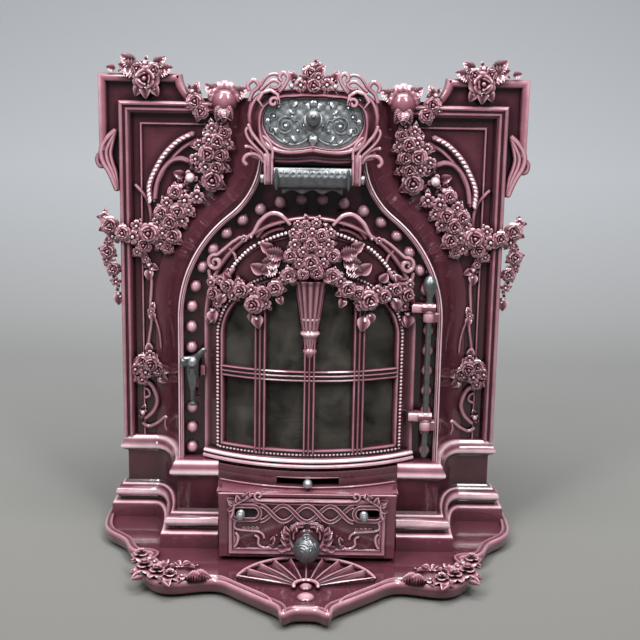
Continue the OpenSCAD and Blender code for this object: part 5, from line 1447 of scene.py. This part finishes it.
def cast_ash_box():
    """The ash box round the drawer, its ledge and the bowed riser with its air slot."""
    c = Casting()
    plan = [(126, FLOOR_Y), (126, -134), (121, -190), (-121, -190), (-126, -134), (-126, FLOOR_Y)]
    inner = [(120, FLOOR_Y), (120, -134), (115, -184), (-115, -184), (-120, -134), (-120, FLOOR_Y)]
    for (a, b), (d, e) in zip(zip(plan[:2], plan[1:3]), zip(inner[:2], inner[1:3])):
        for s in (1, -1):
            q = [(s * x, y) for x, y in (a, b, e, d)]
            c.plate(q, 27, 118, on_level(0), 0.45, 0.8, 0.8)
    # Front round the drawer
    f = on_front(BOX_Y)
    for x0, x1, z0, z1 in ((-121, -107.3, 27, 118), (107.3, 121, 27, 118),
                           (-107.3, 107.3, 112.8, 118), (-107.3, 107.3, 27, 32.2)):
        c.plate([(x0, z0), (x1, z0), (x1, z1), (x0, z1)], 0, 6, f, 0.5, 1.0, 0.9)
    # Ledge, hollowed towards the door, and the riser
    x = np.linspace(-124, 124, 63)
    edge = -190 + 6 * (np.abs(x) / 124) ** 4 + 1.5
    riser = bow_at(x, RISER_R)
    s = np.linspace(0, 1, 9)[:, None]
    y = edge[None] * (1 - s) + riser[None] * s
    top = 118.6 - 1.0 * np.sin(s * math.pi) + (1 - s) * 0.4
    c.sheet(row_frame(x[None], y, top), row_frame(x[None], y, 112), 0.5 + 0.2 * (1 - s))
    c.tube(np.stack([x, riser - 0.6], 1), 2.0, on_level(119.4), tone=1.0, low=0.4)
    for x0, x1, z0, z1 in ((-126, 126, 113, 123.4), (-126, 126, 132.6, RISER_TOP),
                           (-126, -43, 123.4, 132.6), (43, 126, 123.4, 132.6)):
        xs = np.linspace(x0, x1, 33)
        out, back = bow_at(xs, RISER_R), bow_at(xs, RISER_BACK_R)
        corners = ((out, z0), (out, z1), (back, z1), (back, z0))
        c.grid(np.stack([row_frame(xs, y, z) for y, z in corners], 1), [[.3, .5, .3, .2]], wrap_cols=True,
               caps=True)
    xs = np.linspace(-126, 126, 41)
    out, low = bow_at(xs, RISER_R), RISER_TOP - 5
    corners = ((out, low), (out, RISER_TOP), (FLOOR_Y, RISER_TOP), (FLOOR_Y, low))
    c.grid(np.stack([row_frame(xs, y, z) for y, z in corners], 1), [[.3, .6, .3, .2]], wrap_cols=True,
           caps=True)
    c.box((-139.6, FLOOR_Y, RISER_TOP - 5), (139.6, INNER_Y, 152), 0.3)
    for s in (1, -1):
        c.box((s * 118, FLOOR_Y - 6, 113), (s * 126, FLOOR_Y, RISER_TOP), 0.3)
    c.tube([(-43, 134, 0.5), (0, 134, 0.5), (43, 134, 0.5)], 1.3, on_riser, tone=0.9)
    c.finish("cast_ash_box", "stove", "enamel", ["ash_box"])


# The drawer front: its raised edge as (in, out, tone), the middles of its end slots, the half
# width of their straight part and the half length of one wave of the guilloche between
DRAWER_EDGE = [
    (0, -4, .3), (0, 1, .6), (1, 2.4, 1), (4.4, 2.4, .85), (6, 1.2, .5), (6.4, 2.0, .7), (7.6, 2.4, 1),
    (8.8, 1.4, .6), (9.4, -0.6, .15), (9.4, -1, .1)]
SLOT_X, SLOT_HALF, WAVE = 83.5, 10, 32
# Bands round an end slot as (gap, radius, height, flatness, tone on the crown, tone at the foot)
SLOT_BANDS = [(9.6, 2.4, 1.3, 0.7, 0.62, 0.3), (7.4, 0.8, 2.0, 1, 1.0, 0.6), (11.8, 0.8, 2.0, 1, 1.0, 0.6)]
# Its stems on the right as (radius, height, tone, line): the border at the top, the trough of
# flowers at the side and the leaves' stalks beside the knob
DRAWER_SCROLL = volute((66, 117), 6.5, 1.1, 270, 1, 20, [(0, 109.5), (20, 109.5), (44, 109.5), (58, 109.8)])
DRAWER_BORDER = [
    (1.4, 1.2, 0.85, [(0, 105), (40, 105), (62, 106), (76, 109), (86, 112)]),
    (2.0, 2.6, 1.0, [(104, 84), (101, 92), (99, 102), (91, 108), (82, 113), (76, 118)]),
    (1.8, 3, 1.0, [(106, 94), (100, 98), (99, 108), (92, 114)])]
TROUGH = [
    (1.9, 0.6, 1.0, [(97, 80), (99, 74), (97, 69), (90, 67), (76, 66), (66, 65), (60, 61), (58, 55)]),
    (2.0, 0.6, 1.0, [(72, 60), (66, 56), (66, 47), (59, 42), (50, 43), (45, 50), (49, 56)]),
    (2.4, 0.6, 1.0, [(98, 64), (94, 58), (95, 49), (99, 42)]),
    (1.5, 0.6, 0.95, [(101, 62), (98, 55), (99, 48)])]
STALKS = [
    (2.6, 1.4, 0.95, [(4, 78), (14, 77), (22, 70), (24, 58), (20, 46), (12, 38)]),
    (2.0, 1.4, 0.9, [(4, 73), (12, 72), (18, 64), (18, 54)])]
# Its leaves as (place, size, turn): in the corner, under the trough and beside the knob
CORNER_LEAVES = [
    ((98, 104), 12, -60), ((98, 110), 12, -80), ((92, 106), 12, -20), ((88, 112), 11, 40),
    ((101, 98), 9, -100), ((82, 114), 10, 20)]
TROUGH_LEAVES = [((48, 50), 10, 20), ((52, 46), 9, 120), ((40, 42), 15, 84), ((34, 43), 12, 100)]
KNOB_LEAVES = [
    ((24, 56), 16, -42), ((22, 50), 16, -66), ((26, 62), 13, -18), ((20, 46), 14, -100),
    ((18, 64), 12, 10)]


def slot_line(x, r, n):
    """The outline of an end slot, or of a line round it at radius r."""
    right = arc(x - SLOT_HALF, AIR_Z, r, 270, 90, n)
    return np.vstack([right, arc(x + SLOT_HALF, AIR_Z, r, 90, -90, n)])


def cast_guilloche(c, f):
    """The plaited band round the air holes, with its pale edge lines."""
    x = np.linspace(-64, 64, 97)
    for s in (1, -1):
        w = 1.5 + 0.9 * s * np.sin(np.pi * x / WAVE)
        wave = AIR_Z + s * 11.2 * np.cos(np.pi * x / WAVE)
        c.tube(np.stack([x, wave, w], 1), 2.5, f, flat=0.7, tone=0.62, low=0.3)
        for d in (-2.3, 2.3):
            q = aside(np.stack([x, wave], 1), d)
            c.tube(np.column_stack([q, w + 1.0]), 0.8, f, tone=1.0, low=0.6)
    for cx in (-SLOT_X, SLOT_X):
        for gap, r, height, flat, tone, low in SLOT_BANDS:
            loop = slot_line(cx, gap, 12)
            line = refined(np.vstack([loop, loop[:1]]), 4)
            c.tube(line, r, f, flat=flat, tone=tone, low=low, lift=height, taper=False)


def cast_drawer():
    """The ash drawer's front with its air holes, guilloche, border, troughs and leaves."""
    c = Casting()
    f = on_front(DRAWER_Y)
    outline = np.array([(-107, 32.5), (107, 32.5), (107, 112.5), (-107, 112.5)])
    holes = [arc(x, AIR_Z, 6.5, 360, 15, 23) for x in (-48, -16, 16, 48)]
    holes += [slot_line(x, 5.5, 10) for x in (-SLOT_X, SLOT_X)]
    c.holed_plate(outline, holes, -4, 0, f, 0.45)
    c.run(outline, DRAWER_EDGE, f, closed=True)
    cast_guilloche(c, f)
    h = Casting()
    h.tube(DRAWER_SCROLL, 1.9, f, lift=2.5, tone=1.0, low=0.35)
    h.stems(DRAWER_BORDER, f, 0.35)
    for at, size, turn in CORNER_LEAVES:
        h.stamp(ORN["frond"], at, size, turn, f, 2)
    h.stems(TROUGH, f, 0.35, 7)
    for k in range(7):
        h.tube([(70 + 3.2 * k, 62, 0), (71 + 3.0 * k, 45, 0)], 1.4, f, tone=0.6, low=0.3)
    for x in (68, 74, 80, 86):
        h.stamp(ORN["daisy"], (x, 69.5), 3.4, x * 7, f, 0.4)
    for at, size, turn in TROUGH_LEAVES:
        h.stamp(ORN["frond"], at, size, turn, f, 0.6)
    h.stamp(ORN["bud"], (41, 60), 2.2, 0, f, 0.4)
    for at, size, turn in KNOB_LEAVES:
        h.stamp(ORN["frond"], at, size, turn, f, 1)
    h.stems(STALKS, f, steps=7)
    for x, z in ((6, 79), (13, 77), (19, 73)):
        h.stamp(ORN["daisy"], (x, z), 4.4, x * 9, f, 2)
    both_sides(c, h)
    # Boss behind the knob, and the guides of the air register
    c.plate(arc(0, KNOB_Z, 15, 0, 350, 35), -4, 3, f, 0.4, 1.5, 0.7)
    for z in (76.5, 104.5):
        c.box((-97, -189, z), (97, -183, z + 3), 0.2)
    for z in (79.4, 101.6):
        c.box((-97, -184.8, z), (97, -183, z + 3), 0.2)
    c.finish("cast_drawer_front", "ash_drawer", "enamel", ["drawer_front"])


# Turned pieces of the drawer and the grate as (radius, along), from the root outwards
PULL_STEM = [(0, -6), (4, -6), (4, 0.2), (9, 0.4), (9.6, 1.4),
             *((11 * math.cos(math.radians(a)), 9 + 11 * math.sin(math.radians(a)))
               for a in range(-38, 40, 6)), (7, 17), (6.6, 19), (0, 19.5)]
STUD = [
    (0, -10), (2.4, -10), (2.4, 0), (4.8, 0.2), (5.6, 1.6), (5.2, 3), (4.6, 3.6), (5.6, 5), (5.8, 6.6),
    (5, 7.8), (4.6, 8.4), (5.4, 10), (5.6, 12), (4.6, 14), (2.6, 15), (2.4, 17.5), (0, 18.4)]
GRATE_KNOB = [
    (0, -8), (4, -8), (4.2, -5), (5.4, -3.6), (6.4, -1), (6.4, 1.6), (5.2, 4.4), (3.2, 6.4), (1, 7.2),
    (0, 7.3)]
# Root of the pull on the drawer's front, radius of its knob and how far out the knob's middle is
PULL_Y, PULL_R, PULL_OUT = DRAWER_Y - 3, 17.6, 31


def cast_drawer_knob():
    """The drawer's pull, a plain ball and a great engraved knob; the studs; the grate's knob."""
    turned("nickel_drawer_stem", PULL_STEM, (0, PULL_Y, KNOB_Z), (0, -1, 0), "ash_drawer", "dark_nickel")
    c = Casting()
    th = np.radians(np.linspace(0, 180, 61))[:, None]
    ph = np.radians(np.linspace(0, 360, 97)[:-1])[None]
    cut = np.sin(8 * th) * 0.4 + np.sin(12 * ph + 7 * np.sin(4 * th)) * 0.75 * np.sin(th)
    cut = np.clip(cut + 0.4 * np.sin(26 * th + 3 * np.sin(6 * ph)) * np.sin(th), -1, 1)
    r = PULL_R + 0.75 * cut
    x, z = r * np.sin(th) * np.cos(ph), KNOB_Z + r * np.sin(th) * np.sin(ph)
    c.grid(row_frame(x, PULL_Y - PULL_OUT - r * np.cos(th), z), 0.5 + 0.4 * cut, wrap_cols=True)
    c.finish("nickel_drawer_knob", "ash_drawer", "dark_nickel", ["drawer_knob"], 60)
    for name, x, nodes in (("nickel_stud_1", -90, ["register_studs"]), ("nickel_stud_2", 77, [])):
        turned(name, STUD, (x, PULL_Y, AIR_Z), (0, -1, 0), "air_register", "nickel", nodes)
    turned("nickel_grate_knob", GRATE_KNOB, (0, -176, 128), (0, -1, 0), "grate", "nickel", ["grate_knob"])


# Plain pieces and stage

# The CAD nodes that stay as they are, by their finish
PLAIN = {
    "iron": [
        "sole_plate", "hopper_chute", "mica_frame", "mica_screws", "ash_pan", "drawer_rails",
        "air_register", "grate", "grate_lever", "grate_carrier", "fire_basket", "casing_left",
        "casing_right", "casing_back", "casing_top", "flue_collar", "collar_bolts", "casing_bolts"],
    "nickel": ["hopper_hinge_pin", "latch_pin"],
    "brick": ["brick_back", "brick_left", "brick_right"],
    "mica": ["mica_panes"],
}


def finish_plain():
    """Paints the pieces that stay as the CAD made them."""
    for finish, names in PLAIN.items():
        for name in names:
            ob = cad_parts[name]
            ob.data.materials.clear()
            ob.data.materials.append(finish_material(finish))


def backdrop_material():
    """Pale grey paper, darker towards the front of the floor and paler up the sweep: painted shade and light.
    """
    m, t, out = new_material("backdrop_paper")
    place = node(t, "ShaderNodeSeparateXYZ", {0: node(t, "ShaderNodeTexCoord").outputs["Object"]})
    # Painted light: the paper darkens towards the front and bottom and pales with height
    back = math_node(t, "DIVIDE", math_node(t, "ADD", place.outputs["Y"], 0.4), 3.2, clamp=True)
    rise = math_node(t, "MULTIPLY", place.outputs["Z"], 0.35, clamp=True)
    pale = math_node(t, "ADD", back, rise, clamp=True)
    colour = ramp(t, pale, [(0.0, "#6e6d69"), (0.5, "#949492"), (1.0, "#c6c8cb")])
    shader = node(t, "ShaderNodeBsdfPrincipled", {
        "Base Color": colour, "Roughness": 0.8, "Specular IOR Level": 0.1})
    t.links.new(shader.outputs[0], out.inputs["Surface"])
    return m


# Lamps: name, place, the point it faces, width and height in metres, and watts
LAMPS = (
    ("lamp_left", (-0.95, -1.35, 1.9), (0, 0, 0.35), (0.5, 1.1), 30),
    ("lamp_right", (0.8, -1.5, 2.0), (0, 0, 0.35), (0.5, 1.1), 30),
    ("lamp_top", (0, -0.35, 2.3), (0, -0.1, 0.3), (1.8, 0.8), 46),
)
# The photograph's camera, fitted to the stove's outline: focal length and width in pixels,
# degrees of downward pitch, yaw and roll, and its place in metres
FOCAL_PX, WIDTH_PX, SENSOR = 1050, 640, 36
PITCH, YAW, ROLL = 10.64, -0.37, 0.99
CAMERA_AT = (0.0042, -1.484, 0.6149)
# Backdrop in metres: front and back of its floor, radius of its sweep, height and half width
FLOOR_START, FLOOR_END, SWEEP, PAPER_TOP, PAPER_HALF = -6, 1.2, 1.6, 6, 7
# The room's light by height, from below to above, and its strength
SKY = [(0.0, "#5d6166"), (0.4, "#73777d"), (0.62, "#dfe3ea"), (1.0, "#ffffff")]
SKY_STRENGTH = 0.9


def on_stage(name, data):
    """An object of the stage, which is not part of the stove."""
    ob = bpy.data.objects.new(name, data)
    bpy.context.scene.collection.objects.link(ob)
    return ob


def area_lamp(name, at, aim, size, power):
    """A rectangular soft lamp at a place, turned to the point it faces."""
    data = bpy.data.lights.new(name, "AREA")
    data.shape = "RECTANGLE"
    data.size, data.size_y = size
    data.energy = power
    ob = on_stage(name, data)
    ob.location = at
    ob.rotation_euler = (Vector(aim) - Vector(at)).to_track_quat("-Z", "Y").to_euler()


def build_backdrop():
    """A pale floor that sweeps up behind the stove."""
    sweep = [math.radians(a) for a in range(6, 91, 6)]
    profile = [(FLOOR_START, 0), (FLOOR_END, 0)]
    profile += [(FLOOR_END + SWEEP * math.sin(a), SWEEP - SWEEP * math.cos(a)) for a in sweep]
    profile.append((FLOOR_END + SWEEP, PAPER_TOP))
    points = [(x, y, z) for x in (-PAPER_HALF, PAPER_HALF) for y, z in profile]
    n = len(profile)
    mesh = bpy.data.meshes.new("backdrop")
    mesh.from_pydata(points, [], [(i, i + 1, i + n + 1, i + n) for i in range(n - 1)])
    ob = on_stage("backdrop", mesh)
    select_only(ob)
    bpy.ops.object.shade_smooth()
    mesh.materials.append(backdrop_material())


def light_room():
    """Soft light from all round, brighter from above."""
    world = bpy.data.worlds.new("pale_room")
    bpy.context.scene.world = world
    world.use_nodes = True
    t = world.node_tree
    t.nodes.clear()
    out = node(t, "ShaderNodeOutputWorld")
    toward = node(t, "ShaderNodeTexCoord").outputs["Generated"]
    up = node(t, "ShaderNodeSeparateXYZ", {0: toward}).outputs["Z"]
    lit = node(t, "ShaderNodeBackground", {"Color": ramp(t, up, SKY), "Strength": SKY_STRENGTH})
    t.links.new(lit.outputs[0], out.inputs["Surface"])


def set_camera():
    """The camera at the photograph's place and angle."""
    camera = bpy.data.cameras.new("camera")
    camera.lens = SENSOR * FOCAL_PX / WIDTH_PX
    camera.sensor_width = SENSOR
    ob = on_stage("camera", camera)
    pitch, yaw, roll = (math.radians(v) for v in (PITCH, YAW, ROLL))
    ahead = Vector((-math.sin(yaw) * math.cos(pitch), math.cos(yaw) * math.cos(pitch), -math.sin(pitch)))
    level = Vector((math.cos(yaw), math.sin(yaw), 0))
    above = level.cross(ahead)
    right = level * math.cos(roll) + above * math.sin(roll)
    up = above * math.cos(roll) - level * math.sin(roll)
    ob.matrix_world = Matrix((right, up, -ahead)).transposed().to_4x4()
    ob.location = CAMERA_AT
    bpy.context.scene.camera = ob


def build_stage():
    """Sets the backdrop, the soft lamps overhead and the camera of the photograph."""
    build_backdrop()
    light_room()
    for lamp in LAMPS:
        area_lamp(*lamp)
    set_camera()
    bpy.context.scene.view_settings.view_transform = "Standard"


# Settings, operators and panel

class StoveSizes(bpy.types.PropertyGroup):
    """Sizes of the ornament, which the CAD draws more plainly."""
    ball_radius: bpy.props.FloatProperty(
        name="Ball radius", description="Radius of the balls in the channel round the door",
        default=0.0088, min=0.005, max=0.0095, precision=4, subtype="DISTANCE", unit="LENGTH")
    bead_radius: bpy.props.FloatProperty(
        name="Bead radius", description="Radius of the beads round the window", default=0.0023,
        min=0.001, max=0.003, precision=4, subtype="DISTANCE", unit="LENGTH")
    relief: bpy.props.FloatProperty(
        name="Relief", description="How boldly the flowers stand out, against their drawn height",
        default=1.0, min=0.4, max=1.3, subtype="FACTOR")


class StoveFinish(bpy.types.PropertyGroup):
    """Colours of the finishes, as sRGB hex values."""
    # Darkest enamel stop: pooled enamel and painted shade in hollows
    enamel_pooled_and_shade: bpy.props.StringProperty(
        name="Enamel, pooled", description="Colour of the enamel where it pools in hollows",
        default="#211017")
    enamel_deep: bpy.props.StringProperty(
        name="Enamel, deep", description="Colour of the enamel on recessed grounds", default="#431f27")
    enamel_body: bpy.props.StringProperty(
        name="Enamel, body", description="Colour of the enamel on plain surfaces", default="#6a3a45")
    enamel_thin: bpy.props.StringProperty(
        name="Enamel, thin", description="Colour of the enamel on raised surfaces", default="#9b6673")
    # Stop over edges: thin enamel, made paler as a painted highlight
    enamel_edge: bpy.props.StringProperty(
        name="Enamel, edge", description="Colour of the enamel over edges", default="#cfa4ae")
    # Palest enamel stop, on the sharpest edges: thin enamel and a painted highlight
    enamel_thinnest_and_highlight: bpy.props.StringProperty(
        name="Enamel, worn", description="Colour of the enamel on the sharpest edges", default="#f2e0e4")
    nickel: bpy.props.StringProperty(
        name="Nickel", description="Colour of the nickel plating where it is bright", default="#8d9295")
    iron: bpy.props.StringProperty(
        name="Iron", description="Colour of the plain cast iron", default="#2a2827")
    brick: bpy.props.StringProperty(
        name="Fireclay", description="Colour of the lining slabs", default="#75654f")
    mica: bpy.props.StringProperty(
        name="Mica", description="Colour of the mica's smoky film", default="#76726b")
    enamel_roughness: bpy.props.FloatProperty(
        name="Enamel roughness", description="Roughness of the enamel under its gloss", default=0.24,
        min=0.0, max=1.0, subtype="FACTOR")


class STOVE_OT_hearth(bpy.types.Operator):
    """Casts the hearth tray with its shell and flowers"""
    bl_idname = "stove.hearth"
    bl_label = "Hearth tray"

    def execute(self, context):
        cast_hearth(context.scene.stove_sizes)
        return {"FINISHED"}


class STOVE_OT_plinths(bpy.types.Operator):
    """Casts the two moulded plinths"""
    bl_idname = "stove.plinths"
    bl_label = "Plinths"

    def execute(self, context):
        cast_plinths()
        return {"FINISHED"}


class STOVE_OT_wings(bpy.types.Operator):
    """Casts the two wings: pilaster, ear, panel, stems and flowers"""
    bl_idname = "stove.wings"
    bl_label = "Wings"

    def execute(self, context):
        cast_wings(context.scene.stove_sizes)
        return {"FINISHED"}


class STOVE_OT_channel(bpy.types.Operator):
    """Casts the jambs and the arch head: cove, rim and ball channel"""
    bl_idname = "stove.channel"
    bl_label = "Jambs and arch head"

    def execute(self, context):
        cast_channel(context.scene.stove_sizes)
        return {"FINISHED"}


class STOVE_OT_feed_door(bpy.types.Operator):
    """Casts the feed door with its nickel plate, knob and hinge bar"""
    bl_idname = "stove.feed_door"
    bl_label = "Feed door"

    def execute(self, context):
        cast_feed_door(context.scene.stove_sizes)
        cast_feed_plate()
        cast_hinge_bar()
        return {"FINISHED"}


class STOVE_OT_fire_door(bpy.types.Operator):
    """Casts the bowed fire door with its glazing bars, basket and garland"""
    bl_idname = "stove.fire_door"
    bl_label = "Fire door"

    def execute(self, context):
        cast_fire_door(context.scene.stove_sizes)
        return {"FINISHED"}


class STOVE_OT_hardware(bpy.types.Operator):
    """Makes the hinge rod and the latch of the fire door"""
    bl_idname = "stove.hardware"
    bl_label = "Hinge rod and latch"

    def execute(self, context):
        cast_hinge_rod()
        cast_latch()
        return {"FINISHED"}


class STOVE_OT_ash_box(bpy.types.Operator):
    """Casts the ash box and its drawer, with the nickel pull and studs"""
    bl_idname = "stove.ash_box"
    bl_label = "Ash box and drawer"

    def execute(self, context):
        cast_ash_box()
        cast_drawer()
        cast_drawer_knob()
        return {"FINISHED"}


class STOVE_OT_plain(bpy.types.Operator):
    """Gives the plain iron, clay and mica pieces their finishes"""
    bl_idname = "stove.plain"
    bl_label = "Plain pieces"

    def execute(self, context):
        finish_plain()
        return {"FINISHED"}


class STOVE_OT_stage(bpy.types.Operator):
    """Sets the floor, the lamps and the camera"""
    bl_idname = "stove.stage"
    bl_label = "Floor, lamps and camera"

    def execute(self, context):
        build_stage()
        return {"FINISHED"}


OPERATORS = (STOVE_OT_hearth, STOVE_OT_plinths, STOVE_OT_wings, STOVE_OT_channel, STOVE_OT_feed_door,
             STOVE_OT_fire_door, STOVE_OT_hardware, STOVE_OT_ash_box, STOVE_OT_plain, STOVE_OT_stage)


class STOVE_PT_panel(bpy.types.Panel):
    """Lists the stove's settings and pieces in the sidebar of the 3D view"""
    bl_label = "Enamelled stove"
    bl_idname = "STOVE_PT_panel"
    bl_space_type = "VIEW_3D"
    bl_region_type = "UI"
    bl_category = "Stove"

    def draw(self, context):
        for group in (context.scene.stove_sizes, context.scene.stove_finish):
            box = self.layout.box()
            for key in type(group).__annotations__:
                box.prop(group, key)
        for op in OPERATORS:
            self.layout.operator(op.bl_idname)


CLASSES = (StoveSizes, StoveFinish, *OPERATORS, STOVE_PT_panel)


def register():
    for cls in CLASSES:
        bpy.utils.register_class(cls)
    bpy.types.Scene.stove_sizes = bpy.props.PointerProperty(type=StoveSizes)
    bpy.types.Scene.stove_finish = bpy.props.PointerProperty(type=StoveFinish)


def unregister():
    del bpy.types.Scene.stove_finish
    del bpy.types.Scene.stove_sizes
    for cls in reversed(CLASSES):
        bpy.utils.unregister_class(cls)


def main():
    register()
    ORN.update(make_patterns())
    for op in OPERATORS:
        family, name = op.bl_idname.split(".")
        getattr(getattr(bpy.ops, family), name)()


if __name__ == "__main__":
    main()
